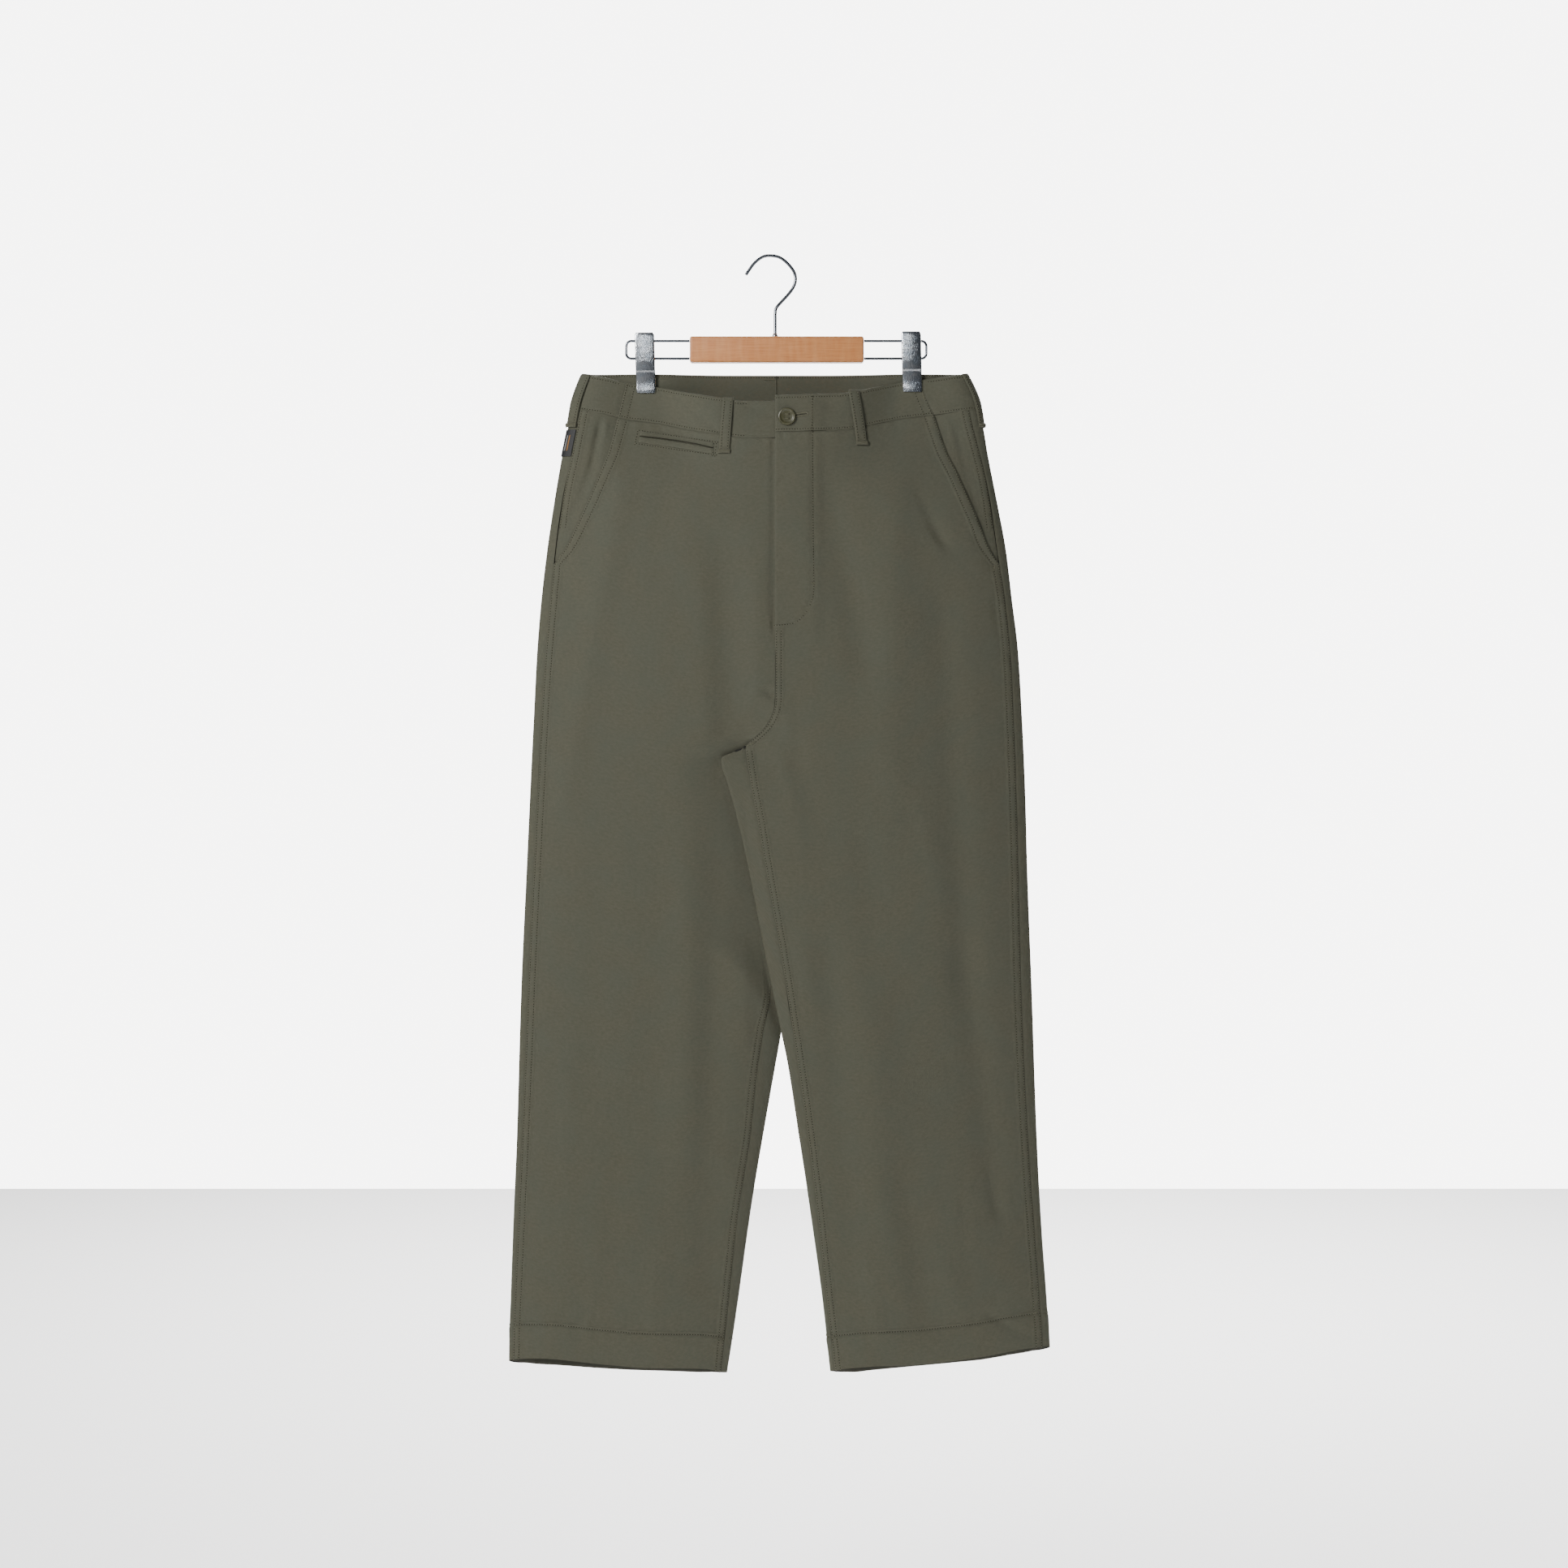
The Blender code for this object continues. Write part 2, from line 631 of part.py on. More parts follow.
def front_right():
    """The right front, which covers the left one at the fly."""
    grid = []
    for down in PANEL_ROWS:
        row = across("right", down, rise_at("right", down), front_edge("right", down), (10,))
        over = 1 - ease(row[:, 0], FLY_WIDTH, FLY_WIDTH + 16)
        row[:, 1] -= (CLOTH + LAY_GAP) * over * (1 - ease(down, FLY_END + 3, FLY_END + 34))
        grid.append(row)
    shell("front_right", np.array(grid), CLOTH, -1)


def back_panel(side):
    grid = []
    for down in PANEL_ROWS:
        if side == "left":
            bends, counts = (), (2, 4, 6, 4, 4)
        else:
            corner = max(along(LEG_LEFT, "fold", down), along(LEG_RIGHT, "fold", down) + 14)
            bends = (corner + (60 - corner) * (1 - ease(down, 430, 462)),)
            counts = (2, 4, 5, 2, 5, 2)
        grid.append(back_row(side, down, along(BODY, "seam_" + side, down), counts, bends))
    shell("back_" + side, np.array(grid), CLOTH, 1 if side == "left" else -1)


def pocket_facing(side):
    """The piece behind the slanted edge, from under the front to the side seam."""
    sign = 1 if side == "left" else -1
    grid = []
    sunk = []
    for down in [row for row in PANEL_ROWS if row < POCKET_END]:
        seam = along(BODY, "seam_" + side, down)
        edge = slant_at(side, down)
        if sign > 0:
            row = across(side, down, seam, edge + 8, (6,))
        else:
            row = across(side, down, edge - 8, seam, (6,))
        share = np.clip((row[:, 0] - seam) / (edge - seam), 0, 1)
        sunk.append(-(CLOTH + 2 * LAY_GAP) * np.maximum(share, ease(down, 200, 270)))
        grid.append(row)
    grid = lifted(np.array(grid), -1, np.array(sunk))
    shell("pocket_facing_" + side, grid, CLOTH, -1)


def waistband():
    clip_edge = CLIP_FLAT + 1
    for side, clip_x, sign in (("left", CLIP_X[0], 1), ("right", CLIP_X[1], -1)):
        bends = (clip_x - sign * clip_edge, clip_x + sign * clip_edge, clip_x + sign * 40)
        counts = (3, 5, 2, 1, 2, 3, 1, 1)
        grid = [back_row(side, down, slant_at(side, down), counts, bends) for down in BAND_ROWS]
        shell("waistband_back_" + side, np.array(grid), BAND, sign)
    left, right = [], []
    for down in BAND_ROWS:
        edge = CLIP_X[0] + clip_edge
        left.append(across("left", down, slant_at("left", down), FLY_EDGE + BAND_UNDERLAP, (2, 3, 7),
                           (edge, edge + 30)))
        edge = CLIP_X[1] - clip_edge
        row = across("right", down, FLY_EDGE, slant_at("right", down), (5, 3, 2), (edge - 30, edge))
        over = 1 - ease(row[:, 0], FLY_WIDTH, FLY_WIDTH + 22)
        row[:, 1] -= (BAND + LAY_GAP) * over
        right.append(row)
    shell("waistband_front_left", np.array(left), BAND, -1)
    shell("waistband_front_right", np.array(right), BAND, -1)


def surface_strip(name, corners, columns, rows, lift, thickness, finish="cloth"):
    """A piece that lies on the left or right front between four corners, as x and down."""
    top_left, top_right, low_left, low_right = np.array(corners, float)
    grid = np.zeros((rows + 1, columns + 1, 3))
    for r in range(rows + 1):
        start = top_left + (low_left - top_left) * r / rows
        end = top_right + (low_right - top_right) * r / rows
        for c in range(columns + 1):
            x, down = start + (end - start) * c / columns
            side = "left" if x < FLY_EDGE else "right"
            grid[r, c] = front_point(side, x, down)
    return shell(name, lifted(grid, -1, lift), thickness, -1, finish)


def welts():
    """The two welts of the small pocket, one above and one below its bowed slit."""
    (x0, d0), (x1, d1) = WELT_SLIT
    for name, near, far in (("welt_upper", -WELT_HEIGHT, -SEAM_GAP), ("welt_lower", SEAM_GAP, WELT_HEIGHT)):
        corners = ((x0, d0 + near), (x1, d1 + near), (x0, d0 + far), (x1, d1 + far))
        surface_strip(name, corners, 6, 1, CLOTH + LAY_GAP, CLOTH)


def loop_lift():
    """Height of a loop's outer face for each row along its length."""
    t = np.linspace(0, 1, LOOP_ROWS + 1)[:, None]
    return 2 * LAY_GAP + TAPE + LOOP_OFF * np.sin(math.pi * t)


def front_loop(name, top, low):
    """Belt loop on the front between two points of its centre line, each x and down."""
    half = LOOP_WIDTH / 2
    corners = ((top[0] - half, top[1]), (top[0] + half, top[1]),
               (low[0] - half, low[1]), (low[0] + half, low[1]))
    surface_strip(name, corners, 1, LOOP_ROWS, loop_lift(), TAPE)


def back_loop(name, x):
    """Belt loop on the back, straight down."""
    side = "left" if x < CENTRE_BACK else "right"
    grid = np.zeros((LOOP_ROWS + 1, 2, 3))
    for r, down in enumerate(np.linspace(WAIST_TOP - 1, WAIST_SEAM + 18, LOOP_ROWS + 1)):
        for c in range(2):
            place = x + (c - 0.5) * LOOP_WIDTH
            y = float(back_wall(side, np.float64(place), np.float64(down)))
            grid[r, c] = (place, y, -down)
    shell(name, lifted(grid, 1, loop_lift()), TAPE, 1)


def side_strip(name, side, downs, before, after, lift, thickness, columns, finish="cloth"):
    """A strip over the outer fold: before and after are lengths on its front and back."""
    grid = []
    for down, far, near in zip(downs, before, after):
        outer = along(BODY, side, down)
        inwards = 1 if side == "left" else -1
        t = np.linspace(0, 1, FINE)
        first = stretch(side, outer + inwards * 30 * (1 - t) ** 2, down, "front")
        second = stretch(side, outer + inwards * 30 * t ** 2, down, "back")
        fold = length_of(first)
        points = np.vstack([first, second[1:]])
        grid.append(resample(points, (fold - far, fold + near), (columns,)))
    sign = 1 if side == "left" else -1
    shell(name, lifted(np.array(grid), sign, lift), thickness, sign, finish)


def belt_loops():
    downs = np.linspace(WAIST_TOP - 1, 170, LOOP_ROWS + 1)
    columns = 3
    for side, behind in (("left", 0.0), ("right", 0.38)):
        before = np.full(len(downs), LOOP_WIDTH * (1 - behind))
        after = np.full(len(downs), LOOP_WIDTH * behind)
        side_strip("belt_loop_side_" + side, side, downs, before, after, loop_lift(), TAPE, columns)
    front_loop("belt_loop_front_left", (-42.8, 141.5), (-46.6, 195.0))
    front_loop("belt_loop_front_right", (80.2, 133.5), (88.7, 186.5))
    for name, x in (("left", -107.6), ("centre", -4.0), ("right", 115.5)):
        back_loop("belt_loop_back_" + name, x)


def label():
    """Small woven label, caught in the side seam and lying on the outer fold."""
    downs = np.linspace(172.5, 198.5, 5)
    side_strip("label", "left", downs, np.linspace(9.6, 10.2, 5), np.linspace(0.2, 0.6, 5),
               LAY_GAP + 0.6, 0.6, 5, "woven_label")


def hem_point(side, down, angle, depth):
    """Point of the turned-up hem, so deep inside the leg's wall, at an angle round the leg."""
    outer, fold = along(BODY, side, down), along(inner(side), "fold", down)
    aside = math.copysign(abs(math.cos(angle)) ** 0.75, math.cos(angle))
    x = (outer + fold) / 2 + (abs(outer - fold) / 2 - 1.15 * depth) * aside
    on_front = math.sin(angle) < 0
    if on_front:
        wall = float(front_wall(side, x, np.float64(down)))
    else:
        wall = float(back_wall(side, x, np.float64(down)))
    y = wall * (1 - depth / max(abs(wall), depth)) * math.sqrt(1 - abs(aside) ** 2.5)
    return x, y, -float(hang(side, x, y, down, on_front))


def hem_turn(side):
    """The end of the leg turned up inside it, a ring just clear of the panels."""
    bm = bmesh.new()
    clear = CLOTH + LAY_GAP
    rings = []
    for down, depth in ((HEM - HEM_TURN, clear), (HEM, clear), (HEM, clear + HEM_WALL),
                        (HEM - HEM_TURN, clear + HEM_WALL)):
        angles = [2 * math.pi * i / HEM_STEPS for i in range(HEM_STEPS)]
        rings.append([bm.verts.new(hem_point(side, down, angle, depth)) for angle in angles])
    for ring, following in zip(rings, rings[1:] + rings[:1]):
        for i in range(HEM_STEPS):
            j = (i + 1) % HEM_STEPS
            bm.faces.new((ring[i], ring[j], following[j], following[i]))
    add_object("hem_" + side, bm, "cloth")


def button():
    """Four-hole button with a raised rim, on the waistband."""
    radius, thick = BUTTON_DIAMETER / 2, BUTTON_THICK
    x, down = BUTTON_PLACE
    back = front_point("right", x, down)[1] - BAND - 3 * LAY_GAP
    profile = ((0.0, 0.0), (radius - 1.2, 0.0), (radius - 0.2, 0.5), (radius, 1.4),
               (radius - 0.5, thick - 0.3), (radius - 1.3, thick), (radius - 2.4, thick - 0.4),
               (radius - 3.0, thick - BUTTON_DISH), (0.0, thick - BUTTON_DISH))
    bm = bmesh.new()
    rings = []
    for r, out in profile:
        angles = [2 * math.pi * i / BUTTON_STEPS for i in range(BUTTON_STEPS if r else 1)]
        rings.append([bm.verts.new((x + r * math.cos(angle), back - out, -down + r * math.sin(angle)))
                      for angle in angles])
    for inner_ring, outer_ring in zip(rings, rings[1:]):
        for i in range(BUTTON_STEPS):
            j = (i + 1) % BUTTON_STEPS
            corners = (inner_ring[i % len(inner_ring)], inner_ring[j % len(inner_ring)],
                       outer_ring[j % len(outer_ring)], outer_ring[i % len(outer_ring)])
            bm.faces.new(list(dict.fromkeys(corners)))
    cut_holes(add_object("button", bm, "button"), x, down, back)


def cut_holes(made, x, down, back):
    """Four thread holes straight through the button."""
    bm = bmesh.new()
    radius, aside = THREAD_HOLE["radius"], THREAD_HOLE["aside"]
    for right in (-aside, aside):
        for up in (-aside, aside):
            found = bmesh.ops.create_cone(bm, cap_ends=True, segments=10, radius1=radius, radius2=radius,
                                          depth=4 * BUTTON_THICK)
            bmesh.ops.rotate(bm, verts=found["verts"], matrix=TURN_TO_Y)
            bmesh.ops.translate(bm, verts=found["verts"], vec=(x + right, back, -down + up))
    cutter = add_object("button_hole_cutter", bm, "button")
    cutter.hide_render = True
    cutter.display_type = "WIRE"
    hole = made.modifiers.new("thread_holes", "BOOLEAN")
    hole.operation = "DIFFERENCE"
    hole.object = cutter


# ---- hanger ----
def hanger_bar():
    centre = ((BAR["left"] + BAR["right"]) / 2, 0, -(BAR["top"] + BAR["low"]) / 2)
    size = (BAR["right"] - BAR["left"], BAR["thick"], BAR["low"] - BAR["top"])
    bm = bmesh.new()
    bmesh.ops.create_cube(bm, size=1)
    bmesh.ops.scale(bm, vec=size, verts=bm.verts)
    bmesh.ops.bevel(bm, geom=bm.edges[:], offset=BAR["corner"], segments=3, profile=0.5, affect="EDGES")
    bmesh.ops.translate(bm, vec=centre, verts=bm.verts)
    add_object("hanger_bar", bm, "wood")


def smooth_line(points, spacing):
    """Evenly spaced points of a smooth curve through some points."""
    points = np.array(points, float)
    steps = np.linalg.norm(np.diff(points, axis=0), axis=1)
    t = np.concatenate([[0], np.cumsum(steps)])
    ends = np.vstack([2 * points[0] - points[1], points, 2 * points[-1] - points[-2]])
    tangents = (ends[2:] - ends[:-2]) / 2
    fine = []
    for i in range(len(points) - 1):
        for s in np.linspace(0, 1, 24, endpoint=False):
            fine.append((1 + 2 * s) * (1 - s) ** 2 * points[i] + s * (1 - s) ** 2 * tangents[i]
                        + s * s * (3 - 2 * s) * points[i + 1] + s * s * (s - 1) * tangents[i + 1])
    fine = np.array(fine + [points[-1]])
    total = length_of(fine)
    return resample(fine, (0, total), (round(total / spacing),))


def wire(name, points, diameter):
    """Round wire along points."""
    data = bpy.data.curves.new(name, "CURVE")
    data.dimensions = "3D"
    spline = data.splines.new("POLY")
    spline.points.add(len(points) - 1)
    for place, point in zip(spline.points, points):
        place.co = (*(point * MM), 1)
    data.bevel_depth = diameter / 2 * MM
    data.bevel_resolution = 2
    data.use_fill_caps = True
    data.materials.append(material("chrome"))
    made = bpy.data.objects.new(name, data)
    bpy.context.scene.collection.objects.link(made)


def hook():
    line = [(x, 0, -down) for x, down in zip(HOOK_LINE["x"], HOOK_LINE["down"])]
    wire("hook", smooth_line(line, 4.2), HOOK_WIRE)
    bm = bmesh.new()
    low = BAR["top"] - 0.3
    bmesh.ops.create_cone(bm, cap_ends=True, segments=16, radius1=COLLAR["radius"],
                          radius2=COLLAR["radius"] * 0.85, depth=low - COLLAR["top"])
    bmesh.ops.translate(bm, vec=(COLLAR["x"], 0, -(low + COLLAR["top"]) / 2), verts=bm.verts)
    add_object("hook_collar", bm, "chrome")


def rails():
    """A wire loop at each end of the bar, on which a clip slides."""
    upper, lower = RAILS
    for name, start, end in (("left", BAR["left"] - 0.3, RAIL_ENDS[0]),
                             ("right", BAR["right"] + 0.3, RAIL_ENDS[1])):
        way = math.copysign(1, end - start)
        points = [(start, 0, -upper)]
        for centre, first in ((upper + RAIL_BEND, 90), (lower - RAIL_BEND, 0)):
            for step in range(5):
                angle = math.radians(first - 90 * step / 4)
                points.append((end + way * RAIL_BEND * (math.cos(angle) - 1), 0,
                               -centre + RAIL_BEND * math.sin(angle)))
        points.append((start, 0, -lower))
        wire("rail_" + name, np.array(points), RAIL_WIRE)


def clip(side, clip_x, top):
    """Two pressed steel jaws with turned sides, and the spring barrel between them."""
    half = CLIP_WIDTH / 2
    for name, facing in (("front", -1), ("back", 1)):
        bm = bmesh.new()
        levels = []
        for height, face, flange in zip(CLIP_SIDE["height"], CLIP_SIDE["face"], CLIP_SIDE["flange"]):
            x = clip_x + CLIP_LEAN * (height / CLIP_HEIGHT - 0.75)
            z = -(top + height)
            flat = face - CLIP_SHEET
            plan = ((-half, face), (half, face), (half, flange), (half - CLIP_SHEET, flange),
                    (half - CLIP_SHEET, flat), (CLIP_SHEET - half, flat),
                    (CLIP_SHEET - half, flange), (-half, flange))
            levels.append([bm.verts.new((x + across_x, facing * y, z)) for across_x, y in plan])
        for upper, lower in zip(levels, levels[1:]):
            for i in range(len(upper)):
                j = (i + 1) % len(upper)
                bm.faces.new((upper[i], upper[j], lower[j], lower[i]))
        bm.faces.new(levels[0])
        bm.faces.new(levels[-1])
        bmesh.ops.triangulate(bm, faces=bm.faces)
        add_object("clip_" + side + "_" + name, bm, "chrome")
    bm = bmesh.new()
    bmesh.ops.create_cone(bm, cap_ends=True, segments=16, radius1=SPRING["radius"],
                          radius2=SPRING["radius"], depth=CLIP_WIDTH - 2 * CLIP_SHEET - 2 * LAY_GAP)
    bmesh.ops.rotate(bm, verts=bm.verts, matrix=TURN_TO_X)
    middle = clip_x + CLIP_LEAN * (SPRING["height"] / CLIP_HEIGHT - 0.75)
    bmesh.ops.translate(bm, vec=(middle, 0, -(top + SPRING["height"])), verts=bm.verts)
    add_object("clip_" + side + "_spring", bm, "chrome")


def build():
    for old in list(bpy.data.objects):
        bpy.data.objects.remove(old)
    for side in ("left", "right"):
        back_panel(side)
        pocket_facing(side)
        hem_turn(side)
    front_left()
    front_right()
    waistband()
    welts()
    belt_loops()
    label()
    button()
    hanger_bar()
    hook()
    rails()
    clip("left", CLIP_X[0], CLIP_TOPS[0])
    clip("right", CLIP_X[1], CLIP_TOPS[1])


build()
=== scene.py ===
# %% [markdown]
# # Softshell trousers on a clip hanger
#
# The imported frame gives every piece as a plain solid. Here each cloth piece is made again as a finer
# closed shell on the same form, with seams, topstitching, creases and puckers, and the hanger gets its
# wood, wire and pressed steel. Lengths are millimetres until a mesh is made. Heights are written as
# "down", the distance below the inside top of the hook, which is the origin.

import math

import bmesh
import bpy
import numpy as np
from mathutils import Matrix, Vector
from mathutils.bvhtree import BVHTree


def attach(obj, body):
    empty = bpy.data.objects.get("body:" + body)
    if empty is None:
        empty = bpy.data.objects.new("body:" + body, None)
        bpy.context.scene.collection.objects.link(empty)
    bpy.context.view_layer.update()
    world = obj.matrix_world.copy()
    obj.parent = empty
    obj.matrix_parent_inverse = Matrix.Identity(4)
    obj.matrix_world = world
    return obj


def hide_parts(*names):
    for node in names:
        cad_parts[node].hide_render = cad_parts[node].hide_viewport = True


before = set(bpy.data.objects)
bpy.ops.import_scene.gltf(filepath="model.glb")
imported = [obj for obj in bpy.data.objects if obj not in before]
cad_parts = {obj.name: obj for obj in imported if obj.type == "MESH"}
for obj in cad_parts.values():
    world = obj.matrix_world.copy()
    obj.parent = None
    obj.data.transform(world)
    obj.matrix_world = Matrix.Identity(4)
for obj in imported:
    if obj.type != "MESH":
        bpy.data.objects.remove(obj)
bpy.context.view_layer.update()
MM = 0.001
print("frame loaded")

# %% [markdown]
# ## The hanging form
#
# These tables and curves are nearly the ones that the solids were made from. They say where each wall
# of the garment hangs, so that a finer shell lies on the same form. Only the fork, the left leg behind
# the right one and the waist beside the clips are a few millimetres softer or sharper than the solids.

# %% Sizes and tables
CLOTH, BAND, TAPE = 1.0, 2.0, 1.2
LAY_GAP = 0.4
FOLD_RADIUS, CROSS_GAP = 2.0, 0.7
WAIST_TOP, WAIST_SEAM = 118.0, 153.0
FORK_TOP, FORK = 456.0, 482.5
HEM, HEM_TURN, HEM_WALL = 1087.0, 36.0, 1.2
CENTRE_BACK, FLY_EDGE, FLY_END, FLY_WIDTH = 4.8, 3.2, 364.0, 38.0
UNDERLAP, BAND_UNDERLAP = 9.0, 28.0
POCKET_END = 302.3
CLIP_X, CLIP_HALF, CLIP_FLAT = (-124.2, 138.1), 2.6, 12.0
PINCH_WIDTH, PINCH_SPREAD, PINCH_HOLD, PINCH_FADE = 30.0, 0.35, 14.0, 62.0
FINE = 240  # points of a row before it is spread
BEND = 4.5  # length over which a row bends round a fold
# Distances of stitch rows from their edge: the first beside any seam, the second ones, and the hem's.
FIRST_ROW, RISE_ROW, SIDE_ROW, BAND_ROW, EDGE_ROW, HEM_ROW = 1.5, 6.2, 7.0, 9.0, 2.0, 33.5


def slopes(x, y):
    """Tangents of a curve that never overshoots its points."""
    step = np.diff(x)
    rise = np.diff(y) / step
    tangents = np.zeros_like(y)
    tangents[0], tangents[-1] = rise[0], rise[-1]
    for i in range(1, len(x) - 1):
        if rise[i - 1] * rise[i] > 0:
            before, after = 2 * step[i] + step[i - 1], step[i] + 2 * step[i - 1]
            tangents[i] = (before + after) / (before / rise[i - 1] + after / rise[i])
    return tangents


def table(columns, *rows):
    """Named columns, each with its tangents, over the first one."""
    values = np.array(rows, float).T
    return {name: (values[0], column, slopes(values[0], column))
            for name, column in zip(columns.split(), values)}


BODY = table(
    "down   left    right   seam_left seam_right front  back  reach",
    (114, -185.5, 190.5, -176.5, 183.0, 17.0, 11.0, 175), (146, -196.0, 203.5, -186.5, 193.0, 19.0, 13.0, 180),
    (170, -201.0, 208.5, -191.5, 198.0, 20.0, 14.0, 185), (194, -206.0, 212.5, -196.0, 204.5, 20.5, 15.0, 190),
    (242, -214.4, 222.0, -206.5, 215.2, 20.5, 16.5, 200), (290, -221.6, 231.0, -213.2, 222.0, 20.0, 17.0, 205),
    (338, -227.2, 236.8, -218.0, 229.5, 19.0, 17.0, 205), (386, -231.2, 242.6, -222.2, 234.5, 18.0, 17.0, 205),
    (456, -234.8, 246.8, -227.0, 238.2, 17.0, 17.0, 200), (530, -238.4, 250.0, -230.7, 240.9, 16.0, 16.0, 170),
    (600, -241.6, 251.8, -234.2, 242.7, 15.0, 15.0, 140), (720, -247.0, 256.2, -240.0, 245.6, 13.5, 13.5, 120),
    (866, -251.3, 261.2, -245.9, 252.2, 13.0, 13.0, 115), (962, -255.2, 266.0, -250.3, 258.8, 13.5, 13.5, 110),
    (1058, -258.2, 272.2, -254.4, 264.9, 14.0, 15.5, 105), (1102, -258.8, 274.5, -255.2, 267.5, 14.5, 17.0, 105))
LEG_RIGHT = table(
    "down   fold   depth  seam   reach",
    (448, 4.8, 17.0, 4.8, 45), (456, 4.8, 13.5, 4.8, 45), (463, -2.0, 9.0, -2.0, 45),
    (470, -12.0, 0.5, -12.0, 45), (477, -20.5, -7.5, -20.5, 45), (482.5, -26.3, -12.0, -26.3, 45),
    (488, -38.5, -12.6, -25.6, 45), (493, -49.2, -12.6, -24.9, 45), (496, -49.8, -12.6, -24.4, 46),
    (520, -43.0, -12.0, -20.5, 54), (555, -33.5, -10.3, -13.9, 64), (594, -24.7, -8.6, -7.3, 72),
    (696, -4.8, -5.0, 10.4, 95), (761, 8.6, -3.5, 20.6, 100), (793, 15.2, -2.5, 25.5, 100),
    (865, 26.4, -1.0, 35.6, 105), (937, 37.5, 0.0, 44.6, 105), (1012, 49.0, 0.0, 53.4, 105),
    (1102, 59.8, 0.0, 64.0, 105))
LEG_LEFT = table(
    "down   fold   depth  seam   reach",
    (456, 4.8, 17.0, 4.8, 45), (463, 13.0, 14.0, -2.0, 45), (470, 21.5, 13.4, -12.0, 45),
    (477, 27.5, 12.7, -20.5, 45), (482.5, 31.0, 12.0, -26.3, 45), (502, 39.0, 10.5, -23.0, 48),
    (520, 42.0, 10.0, -20.0, 54), (555, 38.5, 9.3, -14.5, 64), (594, 32.5, 8.0, -9.0, 72),
    (670, 21.5, 5.5, -3.0, 90), (722, 14.5, 4.3, -1.2, 98), (762, 9.6, 3.5, -8.0, 100),
    (800, 3.0, 2.4, -14.0, 102), (867, -8.8, 1.0, -21.1, 105), (939, -20.9, 0.0, -32.8, 105),
    (1011, -32.1, 0.0, -41.5, 105), (1102, -46.4, 0.0, -51.5, 105))
SLANT = table(
    "down   left    right",
    (112, -140.0, 142.5), (133, -145.5, 149.9), (158, -151.5, 160.0), (195, -161.1, 172.7),
    (212, -168.0, 181.5), (259, -188.6, 202.2), (291, -205.2, 215.8), (POCKET_END, -214.2, 223.6))
RISE = table("down   x", (FLY_END, 3.2), (431, 3.2), (443, 2.5), (458, -3.1), (468, -10.5), (476, -19.5),
             (482.5, -26.3))
DROOP_LEFT = table("x     sag", (-190, -2.0), (-165, 2.0), (-143, 7.0), (-111, 11.3), (-81, 18.0),
                   (-49, 23.5), (-28, 26.5), (-7, 26.5), (45, 25.0))
DROOP_RIGHT = table("x     sag", (0, 21.0), (38, 20.0), (72, 18.5), (104, 11.5), (127, 6.5), (151, 3.5),
                    (173, 1.0), (195, -2.0))
BACK_SAG, DROOP_END, HEM_SLOPE_START = -2.0, 330.0, 900.0
HEM_LEFT = table("x     front  back", (-262, -2.0, 3.0), (-225, -3.5, 6.0), (-168, 1.5, 11.0),
                 (-127, 5.0, 13.0), (-72, 6.5, 13.5), (-40, 11.5, 13.5))
HEM_RIGHT = table("x     front  back", (52, 10.0, 12.0), (77, 6.5, 13.5), (99, 4.2, 12.0), (140, 2.3, 9.0),
                  (173, -1.2, 6.0), (209, -6.0, 2.0), (239, -11.3, -4.0), (278, -16.0, -11.0))

# The largest folds: x and down of the top and of the low end, half width, height towards the viewer.
FRONT_FOLDS = (
    (-149, 230, -203, 520, 16, 2.6), (-50, 300, -39, 600, 22, -2.6), (-66, 330, -62, 460, 15, 1.6),
    (-14, 310, -14, 425, 12, 1.2), (58, 235, 88, 385, 18, -2.4), (120, 240, 118, 500, 20, 2.2),
    (168, 350, 190, 700, 17, -2.6), (190, 700, 220, 915, 15, -2.4), (-77, 610, -87, 860, 20, 2.4),
    (-56, 600, -62, 1000, 16, -2.2), (56, 705, 78, 1000, 18, -2.4), (100, 760, 120, 1000, 22, 1.8),
    (130, 920, 150, 1030, 16, -1.8))
BACK_FOLDS = (
    (-120, 250, -70, 440, 24, 2.6), (125, 250, 75, 440, 24, 2.6), (-165, 330, -120, 600, 22, -2.2),
    (170, 330, 135, 600, 22, -2.2), (-140, 640, -150, 950, 20, 2.2), (150, 640, 165, 950, 20, 2.2),
    (-95, 760, -110, 1030, 18, -1.8), (112, 760, 125, 1030, 18, -1.8))
print("form:", len(FRONT_FOLDS), "front folds and", len(BACK_FOLDS), "back folds")


# %% Curves and walls
def along(rows, column, where):
    """A column's value on its smooth curve."""
    x, y, m = rows[column]
    where = np.clip(where, x[0], x[-1])
    i = np.clip(np.searchsorted(x, where, side="right") - 1, 0, len(x) - 2)
    step = x[i + 1] - x[i]
    t = (where - x[i]) / step
    return ((1 + 2 * t) * (1 - t) ** 2 * y[i] + t * (1 - t) ** 2 * step * m[i]
            + t * t * (3 - 2 * t) * y[i + 1] + t * t * (t - 1) * step * m[i + 1])


def ease(value, start, end):
    """0 before start, 1 after end, smooth between."""
    t = np.clip((value - start) / (end - start), 0, 1)
    return t * t * (3 - 2 * t)


def rounded(distance, reach):
    """0 at a fold, 1 a reach away, and upright at the fold itself."""
    return np.sqrt(1 - (1 - np.clip(distance / reach, 0, 1)) ** 2.5)


def fold_depth(distance):
    """Half thickness of the cloth's own bend, this far from its tip."""
    return FOLD_RADIUS * np.sqrt(1 - (1 - np.clip(distance / FOLD_RADIUS, 0, 1)) ** 2)


